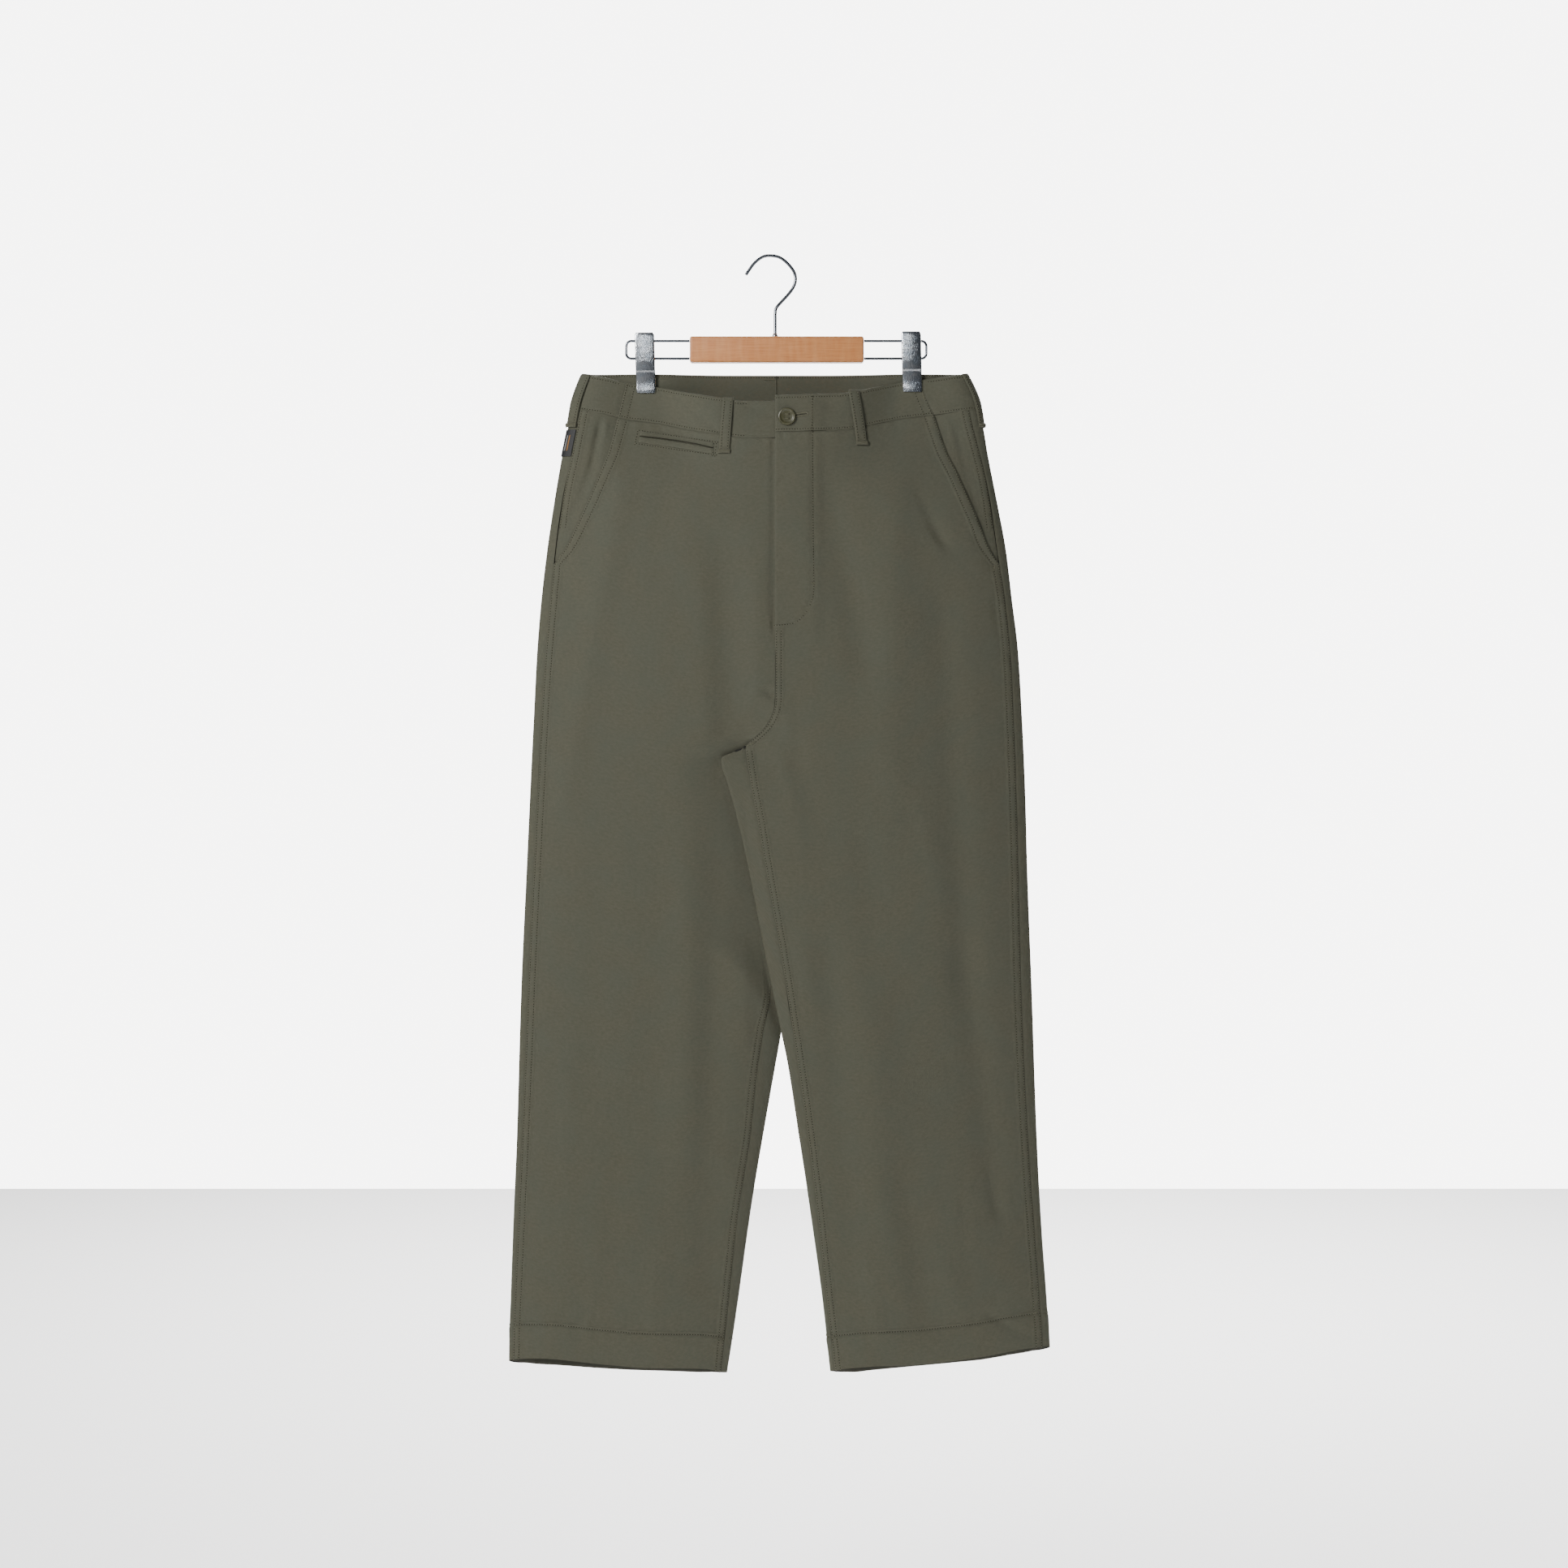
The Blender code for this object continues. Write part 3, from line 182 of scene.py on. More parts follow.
def pinch(x, down):
    """1 where a clip presses the waist flat, fading around and below it."""
    below = np.maximum(down - WAIST_TOP, 0)
    total = 0
    for clip_x in CLIP_X:
        aside = np.maximum(np.abs(x - clip_x) - CLIP_FLAT, 0)
        total = total + np.exp(-(aside / (PINCH_WIDTH + PINCH_SPREAD * below)) ** 2)
    return np.clip(total, 0, 1) * np.exp(-(np.maximum(below - PINCH_HOLD, 0) / PINCH_FADE) ** 2)


def soft_folds(folds, x, down):
    total = 0
    for x_top, top, x_low, low, width, height in folds:
        t = np.clip((down - top) / (low - top), 0, 1)
        aside, beyond = x - (x_top + (x_low - x_top) * t), down - (top + (low - top) * t)
        total = total + height * np.exp(-(aside / width) ** 2 - (beyond / (2 * width)) ** 2)
    return total


def free_wall(side, x, down, facing):
    """y of the front (facing -1) or back (facing 1), as if no inner fold were there."""
    distance = np.abs(x - along(BODY, side, down))
    column, folds = ("front", FRONT_FOLDS) if facing < 0 else ("back", BACK_FOLDS)
    full = rounded(distance, along(BODY, "reach", down))
    pressed = pinch(x, down)
    depth = along(BODY, column, down) * full * (1 - pressed) + CLIP_HALF * pressed
    depth = depth + soft_folds(folds, x, down) * full * (1 - pressed)
    if facing < 0:
        depth = depth - 4.0 * np.exp(-(np.hypot(x + 22, down - 482) / 30) ** 2)
    return facing * np.maximum(depth, fold_depth(distance))


def inner(side):
    return LEG_LEFT if side == "left" else LEG_RIGHT


def divide(x, down):
    """y of the surface between the two crossing legs, and how strongly it acts."""
    right_fold, left_fold = along(LEG_RIGHT, "fold", down), along(LEG_LEFT, "fold", down)
    overlap = left_fold - right_fold
    clear = FOLD_RADIUS + CROSS_GAP
    near, far = along(LEG_RIGHT, "depth", down) + clear, along(LEG_LEFT, "depth", down) - clear
    steep = 0.24 + 0.9 * (1 - ease(overlap, 0, 34))
    t = (x - right_fold) / np.maximum(overlap, 0.5)
    beyond = np.maximum(x - left_fold - 2.5, 0) - np.maximum(right_fold - 2.5 - x, 0)
    middle = near + (far - near) * np.clip(t, 0, 1) + steep * beyond
    return middle, np.clip((overlap + 4) / 4, 0, 1) * (down > FORK_TOP)


def closed_wall(side, x, down, facing):
    """y of a wall that also closes on the leg's inner fold."""
    legs = inner(side)
    tip, reach = along(legs, "depth", down), along(legs, "reach", down)
    distance = np.abs(x - along(legs, "fold", down))
    closed = tip + (free_wall(side, x, down, facing) - tip) * rounded(distance, reach)
    if facing < 0:
        least = np.minimum(closed, tip - fold_depth(distance))
    else:
        start = FORK - 1 if side == "right" else FORK_TOP
        least = np.maximum(closed, tip + fold_depth(distance) * ease(down, start, start + 4))
    return closed + (least - closed) * (1 - ease(distance, 0.4 * reach, 0.8 * reach))


def front_wall(side, x, down, strip=False):
    """y of the front; strip is the left leg's hidden stretch behind the right leg."""
    free = free_wall(side, x, down, -1)
    closed = closed_wall(side, x, down, -1)
    if side == "right":
        return free + (closed - free) * ease(down, FORK, FORK + 18)
    middle, strength = divide(x, down)
    behind = 1.0 if strip else ease(down, FORK - 9, FORK + 1.5)
    if not strip:
        closed = free + (closed - free) * ease(down, FORK - 12, FORK + 2)
    target = middle + CROSS_GAP
    soft = np.maximum(5.0 - np.abs(closed - target), 0) ** 2 / 20  # rounds the corner between the two
    return closed + (np.maximum(closed, target) + soft - closed) * strength * behind


def back_wall(side, x, down):
    parted = down > (FORK_TOP if side == "left" else FORK_TOP - 8)
    y = np.where(parted, closed_wall(side, x, down, 1), free_wall(side, x, down, 1))
    if side == "left":
        return y
    middle, strength = divide(x, down)
    return y + (np.minimum(y, middle - CROSS_GAP) - y) * strength


def hang(side, x, y, down, on_front):
    """Height of a point: the waist droops and the hem slopes."""
    droop = along(DROOP_LEFT if side == "left" else DROOP_RIGHT, "sag", x) if on_front else BACK_SAG
    hems = HEM_LEFT if side == "left" else HEM_RIGHT
    behind = ease(y, -8, 8)
    slope = along(hems, "front", x) * (1 - behind) + along(hems, "back", x) * behind
    return (down + droop * (1 - ease(down, WAIST_SEAM + 4, DROOP_END))
            + slope * ease(down, HEM_SLOPE_START, HEM - 20))


def stretch(side, x, down, wall):
    """Points of one wall along x."""
    down = np.full_like(x, down)
    y = back_wall(side, x, down) if wall == "back" else front_wall(side, x, down, wall == "strip")
    return np.column_stack([x, y, -hang(side, x, y, down, wall != "back")])


def lengths_of(points):
    steps = np.linalg.norm(np.diff(points, axis=0), axis=1)
    return np.concatenate([[0], np.cumsum(steps)])


def spread(points, places):
    """Points at some lengths along a line."""
    lengths = lengths_of(points)
    return np.column_stack([np.interp(places, lengths, points[:, k]) for k in range(points.shape[1])])


def slant_at(side, down):
    """x of the slanted pocket edge on a row, which droops with the waist."""
    x = along(SLANT, side, down)
    for _ in range(4):
        x = along(SLANT, side, hang(side, x, -20.0, down, True))
    return x


def front_edge(side, down):
    """x of the front panel's outer edge: the pocket edge, then the side seam."""
    x = slant_at(side, down)
    if hang(side, x, -20.0, down, True) < POCKET_END:
        return x
    return along(BODY, "seam_" + side, down)


def rise_at(side, down):
    """x of the front panel's inner edge."""
    if down > FORK:
        return along(inner(side), "seam", down)
    seam = along(RISE, "x", down)
    if side == "left":
        seam = seam + UNDERLAP * (1 - ease(down, FLY_END - 20, FLY_END))
    return seam


print("waist at the front middle hangs", round(float(along(DROOP_LEFT, "sag", 0.0)), 1), "mm below the sides")

# %% [markdown]
# ## Relief
#
# What the hand would feel on the cloth: the raised allowance beside a topstitched seam, the groove of
# each stitch row, uneven puckers across it, small creases from the wearer's folding, and faint waves.

# %% Relief of seams, creases and waves
# Creases: x and down of both ends, half width to the left and to the right, height at both ends.
FRONT_CREASES = (
    (147, 242, 163, 275, 4, 9, -0.9, -1.2), (163, 275, 176, 292, 4, 8, -1.2, -0.3),
    (205, 283, 217, 304, 4, 6, -1.2, -0.8), (221, 352, 224, 372, 4, 7, -1.0, -0.4),
    (24, 446, 26, 492, 6, 9, -0.6, -0.8), (-26, 690, -25, 765, 8, 6, 0.6, 0.9),
    (34, 700, 40, 735, 9, 12, 1.0, 0.6), (188, 938, 190, 990, 5, 8, -0.9, -0.4),
    (214, 905, 220, 936, 4, 7, -0.8, -1.9), (217, 1043, 250, 1062, 4, 4, -1.0, -0.5),
    (5, 228, 18, 213, 2.2, 3.4, -0.9, -0.2), (5, 296, 18, 282, 2.2, 3.4, -0.8, -0.2),
    (7, 312, 20, 316, 3, 3, -0.5, -0.1), (-2, 431, 2, 434, 3, 4, -1.5, -0.9),
    (-18, 455, -48, 500, 7, 12, -1.0, -0.5), (-34, 470, -92, 520, 8, 14, 0.8, 0.3),
    (4, 470, 40, 540, 8, 12, -0.9, -0.4), (12, 500, 30, 590, 7, 10, 0.8, 0.3),
    (-104, 240, -112, 330, 11, 16, -0.7, -0.3), (92, 590, 100, 690, 12, 16, -0.9, -0.4),
    (150, 560, 170, 640, 9, 13, 0.8, 0.4), (-168, 640, -176, 800, 14, 18, -0.9, -0.5),
    (-200, 830, -206, 985, 10, 14, 0.8, 0.5), (-150, 900, -160, 1010, 12, 12, -0.8, -0.6),
    (-112, 985, -118, 1046, 8, 11, 0.9, 0.5), (-186, 1000, -190, 1050, 9, 9, -0.7, -0.5),
    (96, 1000, 104, 1048, 8, 10, 0.8, 0.6), (176, 1005, 190, 1046, 8, 10, 0.8, 0.5),
    (-40, 905, -64, 860, 8, 12, 0.7, 0.2), (72, 845, 100, 800, 8, 12, 0.8, 0.2))
BAND_CREASES = ((-88, 143, -56, 172, 2.4, 3.4, -0.5, -0.8), (-20, 150, 0, 156, 3, 4, -0.5, -0.2),
                (52, 146, 66, 152, 4, 5, -0.4, -0.2), (-160, 128, -150, 146, 4, 6, -0.6, -0.3))
FACING_CREASES = ((-171, 172, -177, 200, 2.2, 4.6, -2.6, -1.6), (-164, 168, -167, 182, 2.2, 3.4, 1.1, 0.3),
                  (-180, 214, -197, 256, 4, 9, -1.5, -0.7),
                  (184, 180, 196, 236, 4, 5, -0.8, -0.4), (198, 240, 209, 276, 3.4, 5, -0.8, -0.5),
                  (174, 168, 180, 190, 2.4, 3.2, 0.5, 0.2))
BACK_CREASES = (
    (-20, 395, -70, 452, 7, 12, -1.3, -0.4), (26, 392, 78, 448, 7, 12, -1.4, -0.5),
    (-30, 430, -92, 470, 7, 12, 0.9, 0.3), (40, 425, 96, 468, 8, 12, 0.9, 0.3),
    (-60, 500, -120, 560, 10, 15, -1.0, -0.4), (70, 505, 132, 566, 10, 15, -1.1, -0.4),
    (-90, 660, -168, 690, 9, 13, -1.3, -0.6), (-84, 700, -150, 724, 9, 12, 0.8, 0.4),
    (92, 655, 172, 690, 9, 13, -1.2, -0.6), (88, 704, 158, 722, 9, 12, 0.9, 0.3),
    (-158, 800, -166, 960, 12, 16, -0.9, -0.6), (168, 790, 182, 955, 12, 16, -0.9, -0.6),
    (-205, 560, -212, 690, 9, 12, 0.8, 0.4), (214, 560, 222, 700, 9, 12, 0.8, 0.4),
    (-60, 880, -80, 1030, 10, 13, -0.9, -0.5), (84, 880, 96, 1030, 10, 13, -0.9, -0.5),
    (-40, 190, -52, 290, 12, 16, -0.8, -0.4), (60, 190, 66, 290, 12, 16, -0.8, -0.4),
    (-160, 200, -150, 300, 10, 14, 0.9, 0.4), (168, 205, 160, 300, 10, 14, 0.9, 0.4))


def creases(lines, x, down):
    """Summed height of small creases, which are steeper on one side than on the other."""
    total = np.zeros(np.broadcast(x, down).shape)
    for x0, d0, x1, d1, left, right, start, end in lines:
        length = math.hypot(x1 - x0, d1 - d0)
        way_x, way_d = (x1 - x0) / length, (d1 - d0) / length
        run = (x - x0) * way_x + (down - d0) * way_d
        aside = ((x - x0) * way_d - (down - d0) * way_x) * (1 if d1 >= d0 else -1)
        width = np.where(aside < 0, left, right)
        t = np.clip(run / length, 0, 1)
        beyond = (run - t * length) / (1.2 * (left + right))
        total += (start + (end - start) * t) * np.exp(-(aside / width) ** 2 - beyond ** 2)
    return total


def uneven(run, spacing, seed):
    """Smooth uneven waves along a length, between about -1 and 1."""
    values = np.random.default_rng(seed).uniform(-1, 1, 512)
    place = run / spacing + 40.37
    i = np.floor(place).astype(int)
    t = place - i
    t = t * t * (3 - 2 * t)
    return values[i % 512] * (1 - t) + values[(i + 1) % 512] * t


def waves(x, down, size, seed):
    """Smooth uneven waves over the cloth."""
    values = np.random.default_rng(seed).uniform(-1, 1, (64, 64))
    a, b = x / size + 13.7, down / size + 3.1
    i, j = np.floor(a).astype(int), np.floor(b).astype(int)
    s, t = a - i, b - j
    s, t = s * s * (3 - 2 * s), t * t * (3 - 2 * t)
    i, j, k, l = i % 64, j % 64, (i + 1) % 64, (j + 1) % 64
    return ((values[i, j] * (1 - s) + values[k, j] * s) * (1 - t)
            + (values[i, l] * (1 - s) + values[k, l] * s) * t)


def seam_relief(gap, run, seed, second=SIDE_ROW, height=0.45, rows=True, pucker=0.3):
    """Relief beside a seam: gap is the distance from its edge and run the length along it."""
    relief = height * (1 - ease(gap, second + 1.0, second + 3.2)) - 0.8 * (1 - ease(gap, 0, 1.5))
    if rows:
        for row in (FIRST_ROW, second):
            relief = relief - 0.32 * np.exp(-((gap - row) / 0.65) ** 2)
    folds = uneven(run + 0.35 * gap, 6.5, seed) + 0.7 * uneven(run - 0.2 * gap, 3.9, seed + 1)
    return relief + pucker * folds * ease(gap, 0.2, 2.5) * np.exp(-(gap / 10.0) ** 2)


def waves_all(x, down, seed):
    return (0.42 * waves(x, down * 0.6, 62, seed) + 0.24 * waves(x, down, 30, seed + 1)
            + 0.09 * waves(x, down, 13, seed + 2))


print("creases:", sum(len(c) for c in (FRONT_CREASES, BAND_CREASES, FACING_CREASES, BACK_CREASES)))

# %% [markdown]
# ## Colours and materials
#
# Every finish but the painted shade in needle holes and slits is named for what the real thing is made of, and its
# patterns are sized in millimetres.


# %% Material helpers
def srgb(code):
    """A hex colour as linear values."""
    values = [int(code[i:i + 2], 16) / 255 for i in (1, 3, 5)]
    return tuple(v / 12.92 if v <= 0.04045 else ((v + 0.055) / 1.055) ** 2.4 for v in values) + (1.0,)


def add_node(tree, kind, inputs=None, **settings):
    """One node with its settings, and its sockets set to values or linked to other sockets."""
    made = tree.nodes.new(kind)
    made.location = (200 * len(tree.nodes), 0)
    for name, value in settings.items():
        setattr(made, name, value)
    for name, value in (inputs or {}).items():
        if isinstance(value, bpy.types.NodeSocket):
            tree.links.new(value, made.inputs[name])
        else:
            made.inputs[name].default_value = value
    return made


def new_material(name):
    made = bpy.data.materials.new(name)
    made.use_nodes = True
    made.node_tree.nodes.clear()
    return made, made.node_tree


def finish_material(tree, surface):
    out = add_node(tree, "ShaderNodeOutputMaterial")
    tree.links.new(surface.outputs[0], out.inputs["Surface"])


def noise(tree, vector, scale, detail=2.0, roughness=0.5):
    return add_node(tree, "ShaderNodeTexNoise", {"Vector": vector, "Scale": scale, "Detail": detail,
                                                 "Roughness": roughness}).outputs["Fac"]


def spread_out(tree, value, low, high, to_low=0.0, to_high=1.0):
    return add_node(tree, "ShaderNodeMapRange", {"Value": value, "From Min": low, "From Max": high,
                                                 "To Min": to_low, "To Max": to_high}).outputs["Result"]


def mix_colour(tree, factor, first, second):
    made = add_node(tree, "ShaderNodeMix", data_type="RGBA")
    for socket, value in zip((made.inputs[0], made.inputs[6], made.inputs[7]), (factor, first, second)):
        if isinstance(value, bpy.types.NodeSocket):
            tree.links.new(value, socket)
        else:
            socket.default_value = value
    return made.outputs[2]


def scaled(tree, vector, amounts):
    return add_node(tree, "ShaderNodeMapping", {"Vector": vector, "Scale": amounts}).outputs["Vector"]


# %% Cloth, thread and label
def softshell(name, tint, shade):
    """Stretch-woven polyester face of a bonded softshell.

    The eye gets a dull olive with faint warm and cool slubs 2 to 4 mm long, a fine 0.7 mm weave that
    only roughens the light, and near black where the attribute "inside" says so: painted shade on the
    hem rings and the undersides of belt loops and welts, and a dark inner skin on the other pieces.
    """
    made, tree = new_material(name)
    where = add_node(tree, "ShaderNodeUVMap", uv_map="cut").outputs["UV"]
    slubs = noise(tree, scaled(tree, where, (260, 420, 1)), 1.0, 3.0, 0.65)
    drift = noise(tree, scaled(tree, where, (34, 26, 1)), 1.0, 2.0)
    colour = mix_colour(tree, spread_out(tree, slubs, 0.32, 0.68), srgb(shade), srgb(tint))
    cooler = mix_colour(tree, spread_out(tree, drift, 0.35, 0.7, 0.0, 0.35), colour, srgb("#494e44"))
    # Painted shade on hem rings, loop and welt undersides: "inside" mixes the cloth towards near black; elsewhere
    # it darkens the inner skin.
    inside = add_node(tree, "ShaderNodeAttribute", attribute_name="inside").outputs["Fac"]
    colour = mix_colour(tree, inside, cooler, srgb("#1d1d1a"))
    weave = noise(tree, scaled(tree, where, (1500, 1300, 1)), 1.0, 1.0)
    hand = noise(tree, scaled(tree, where, (420, 420, 1)), 1.0, 3.0, 0.6)
    height = add_node(tree, "ShaderNodeMath", {0: weave, 1: hand}, operation="ADD").outputs[0]
    bump = add_node(tree, "ShaderNodeBump", {"Strength": 0.22, "Distance": 0.0002, "Height": height})
    surface = add_node(tree, "ShaderNodeBsdfPrincipled", {
        "Base Color": colour, "Roughness": 0.82, "Normal": bump.outputs[0], "Specular IOR Level": 0.3,
        "Sheen Weight": 0.12, "Sheen Roughness": 0.45, "Sheen Tint": srgb("#b9bba8")})
    finish_material(tree, surface)
    return made


def plain(name, colour, roughness, specular=0.4, metallic=0.0):
    """A finish that is the same everywhere."""
    made, tree = new_material(name)
    finish_material(tree, add_node(tree, "ShaderNodeBsdfPrincipled", {
        "Base Color": srgb(colour), "Roughness": roughness, "Specular IOR Level": specular,
        "Metallic": metallic}))
    return made


def woven_label():
    """Damask label of black polyester yarn: fine ribs 0.45 mm apart give a dull, slightly banded black,
    with thin pale and amber stripes where a real one has its lettering."""
    made, tree = new_material("damask_woven_label")
    where = add_node(tree, "ShaderNodeUVMap", uv_map="cut").outputs["UV"]
    ribs = add_node(tree, "ShaderNodeTexWave", {"Vector": where, "Scale": 350.0, "Distortion": 0.0},
                    bands_direction="Y").outputs["Fac"]
    bump = add_node(tree, "ShaderNodeBump", {"Strength": 0.4, "Distance": 0.00012, "Height": ribs})
    stripe = add_node(tree, "ShaderNodeAttribute", attribute_name="stripe").outputs["Fac"]
    amber = add_node(tree, "ShaderNodeAttribute", attribute_name="amber").outputs["Fac"]
    colour = mix_colour(tree, stripe, srgb("#101114"), srgb("#b9b9b4"))
    colour = mix_colour(tree, amber, colour, srgb("#b0741c"))
    finish_material(tree, add_node(tree, "ShaderNodeBsdfPrincipled", {
        "Base Color": colour, "Roughness": 0.62, "Normal": bump.outputs[0]}))
    return made


CLOTH_FACE = softshell("stretch_woven_softshell", "#525144", "#4b4b3e")
THREAD = plain("polyester_topstitch_thread", "#5f5e4d", 0.6)
# Painted shade: a near black laid under the stitches and in the welt and buttonhole slits, where needle holes and
# openings fall into shade.
NEEDLE_SHADE = plain("shade_in_needle_holes", "#2b2a22", 0.85, 0.1)
BUTTON_THREAD = plain("button_sewing_thread", "#5b5a47", 0.6)
LABEL_FACE = woven_label()
print("cloth materials ready")


# %% Wood, steel and button
def lacquered_wood():
    """Planed and lacquered alder: orange tan, straight grain along the bar with pores 6 to 30 mm long
    and under 1 mm across, and a faint diagonal figure."""
    made, tree = new_material("lacquered_alder")
    where = add_node(tree, "ShaderNodeTexCoord").outputs["Object"]
    grain = noise(tree, scaled(tree, where, (38, 900, 900)), 1.0, 4.0, 0.62)
    pores = noise(tree, scaled(tree, where, (110, 2600, 2600)), 1.0, 2.0)
    figure = noise(tree, add_node(tree, "ShaderNodeMapping", {
        "Vector": where, "Rotation": (0, 0.9, 0), "Scale": (170, 30, 30)}).outputs["Vector"], 1.0, 2.0)
    colour = mix_colour(tree, spread_out(tree, grain, 0.3, 0.7), srgb("#bb7541"), srgb("#cf8b53"))
    colour = mix_colour(tree, spread_out(tree, figure, 0.4, 0.7, 0.0, 0.3), colour, srgb("#dca26f"))
    colour = mix_colour(tree, spread_out(tree, pores, 0.62, 0.74, 0.0, 0.5), colour, srgb("#945a36"))
    bump = add_node(tree, "ShaderNodeBump", {"Strength": 0.25, "Distance": 0.0001, "Height": grain})
    finish_material(tree, add_node(tree, "ShaderNodeBsdfPrincipled", {
        "Base Color": colour, "Normal": bump.outputs[0], "Roughness": 0.46, "Coat Weight": 0.1,
        "Coat Roughness": 0.25}))
    return made


def plated_steel():
    """Nickel-chromed pressed steel that has seen years of use: a bright bluish mirror, with clouding
    4 to 10 mm wide, pits under 1 mm and small scratches that break up what it reflects."""
    made, tree = new_material("nickel_chromed_pressed_steel")
    where = add_node(tree, "ShaderNodeTexCoord").outputs["Object"]
    cloud = noise(tree, where, 150.0, 4.0, 0.6)
    pits = add_node(tree, "ShaderNodeTexVoronoi", {"Vector": where, "Scale": 700.0}).outputs["Distance"]
    scratches = noise(tree, scaled(tree, where, (1600, 1600, 260)), 1.0, 2.0)
    colour = mix_colour(tree, spread_out(tree, cloud, 0.38, 0.64), srgb("#d6dde5"), srgb("#fafbfc"))
    rough = add_node(tree, "ShaderNodeMath", {
        0: spread_out(tree, cloud, 0.35, 0.65, 0.2, 0.07),
        1: spread_out(tree, pits, 0.0, 0.25, 0.1, 0.0)}, operation="ADD").outputs[0]
    height = add_node(tree, "ShaderNodeMath", {0: cloud, 1: scratches}, operation="ADD").outputs[0]
    bump = add_node(tree, "ShaderNodeBump", {"Strength": 0.3, "Distance": 0.0003, "Height": height})
    finish_material(tree, add_node(tree, "ShaderNodeBsdfPrincipled", {
        "Base Color": colour, "Metallic": 1.0, "Roughness": rough, "Normal": bump.outputs[0]}))
    return made


def drawn_wire():
    """Bright drawn and nickelled wire with faint draw marks along it."""
    made, tree = new_material("bright_drawn_steel_wire")
    where = add_node(tree, "ShaderNodeTexCoord").outputs["Object"]
    marks = noise(tree, where, 900.0, 2.0)
    finish_material(tree, add_node(tree, "ShaderNodeBsdfPrincipled", {
        "Base Color": srgb("#6c7177"), "Metallic": 1.0, "Specular Tint": srgb("#6a6d72"),
        "Roughness": spread_out(tree, marks, 0.3, 0.7, 0.12, 0.24)}))
    return made


def urea_button():
    """Urea-resin button: olive, darker than the cloth, half glossy, with cloudy streaks 3 mm wide."""
    made, tree = new_material("urea_resin_button")
    where = add_node(tree, "ShaderNodeTexCoord").outputs["Object"]
    cloud = noise(tree, scaled(tree, where, (300, 300, 420)), 1.0, 2.0)
    colour = mix_colour(tree, spread_out(tree, cloud, 0.35, 0.7), srgb("#3e3e2b"), srgb("#4c4b36"))
    finish_material(tree, add_node(tree, "ShaderNodeBsdfPrincipled", {
        "Base Color": colour, "Roughness": 0.33, "Specular IOR Level": 0.5}))
    return made


WOOD, PLATE, WIRE, RESIN = lacquered_wood(), plated_steel(), drawn_wire(), urea_button()
STEEL_COLLAR = plain("turned_steel_collar", "#b9bcc0", 0.3, metallic=1.0)
print("materials in all:", len(bpy.data.materials))

# %% [markdown]
# ## Cloth shells
#
# A grid of points on the hanging form, with rows about 3 mm apart and columns crowded at seams and
# folds, becomes the outside of a closed shell. Its inside lies one cloth thickness deeper, and the rim
# between them is rounded like a turned or stitched edge.

# %% Shell maker
SKINS = {}
FLAT_SIZES = {}


def outward(grid, sign, ring=False):
    """Unit normals of a grid of points."""
    if ring:
        along_row = np.roll(grid, -1, axis=1) - np.roll(grid, 1, axis=1)
    else:
        along_row = np.gradient(grid, axis=1)
    normals = np.cross(along_row, np.gradient(grid, axis=0)) * sign
    return normals / np.maximum(np.linalg.norm(normals, axis=2, keepdims=True), 1e-9)


def row_gaps(grid):
    """Distance of every point from its row's start and from its row's end."""
    steps = np.linalg.norm(np.diff(grid, axis=1), axis=2)
    run = np.concatenate([np.zeros((len(grid), 1)), np.cumsum(steps, axis=1)], axis=1)
    return run, run[:, -1:] - run


def column_gaps(grid):
    """Distance of every point from its column's top and from its low end."""
    start, end = row_gaps(grid.transpose(1, 0, 2))
    return start.T, end.T


def in_scene(name, data):
    """A new object for a mesh, a light or a camera, in the scene."""
    made = bpy.data.objects.new(name, data)
    bpy.context.scene.collection.objects.link(made)
    return made


def mesh_of(name, bm):
    """A mesh of an edit mesh, which is then freed."""
    mesh = bpy.data.meshes.new(name)
    bm.to_mesh(mesh)
    bm.free()
    return mesh


def make_mesh(name, points, faces, material, values=None, uv=None, sharp=60):
    """A closed mesh in metres, turned outwards, with float values and UV for every point."""
    mesh = bpy.data.meshes.new(name)
    mesh.from_pydata((np.asarray(points) * MM).tolist(), [], faces)
    bm = bmesh.new()
    bm.from_mesh(mesh)
    bmesh.ops.recalc_face_normals(bm, faces=bm.faces)
    bm.to_mesh(mesh)
    bm.free()
    for key, value in (values or {}).items():
        mesh.attributes.new(key, "FLOAT", "POINT").data.foreach_set("value", np.asarray(value, np.float32))
    if uv is not None:
        corners = np.zeros(len(mesh.loops), int)
        mesh.loops.foreach_get("vertex_index", corners)
        layer = mesh.uv_layers.new(name="cut")
        layer.data.foreach_set("uv", np.asarray(uv, np.float32)[corners].ravel())
    mesh.shade_smooth()
    mesh.set_sharp_from_angle(angle=math.radians(sharp))
    mesh.materials.append(material)
    return in_scene(name, mesh)


def grid_faces(index, ring=False):
    """Quads of a grid of point numbers."""
    across = np.roll(index, -1, axis=1) if ring else index[:, 1:]
    here = index if ring else index[:, :-1]
    corners = (here[:-1], across[:-1], across[1:], here[1:])
    return np.stack([c.ravel() for c in corners], axis=1).tolist()


def number(grid):
    """The point numbers of a grid."""
    return np.arange(grid[..., 0].size).reshape(grid.shape[:2])


def capped_faces(grid):
    """Quads round a stack of rings, with a face over each end."""
    index = number(grid)
    return grid_faces(index, ring=True) + [index[0].tolist(), index[-1][::-1].tolist()]


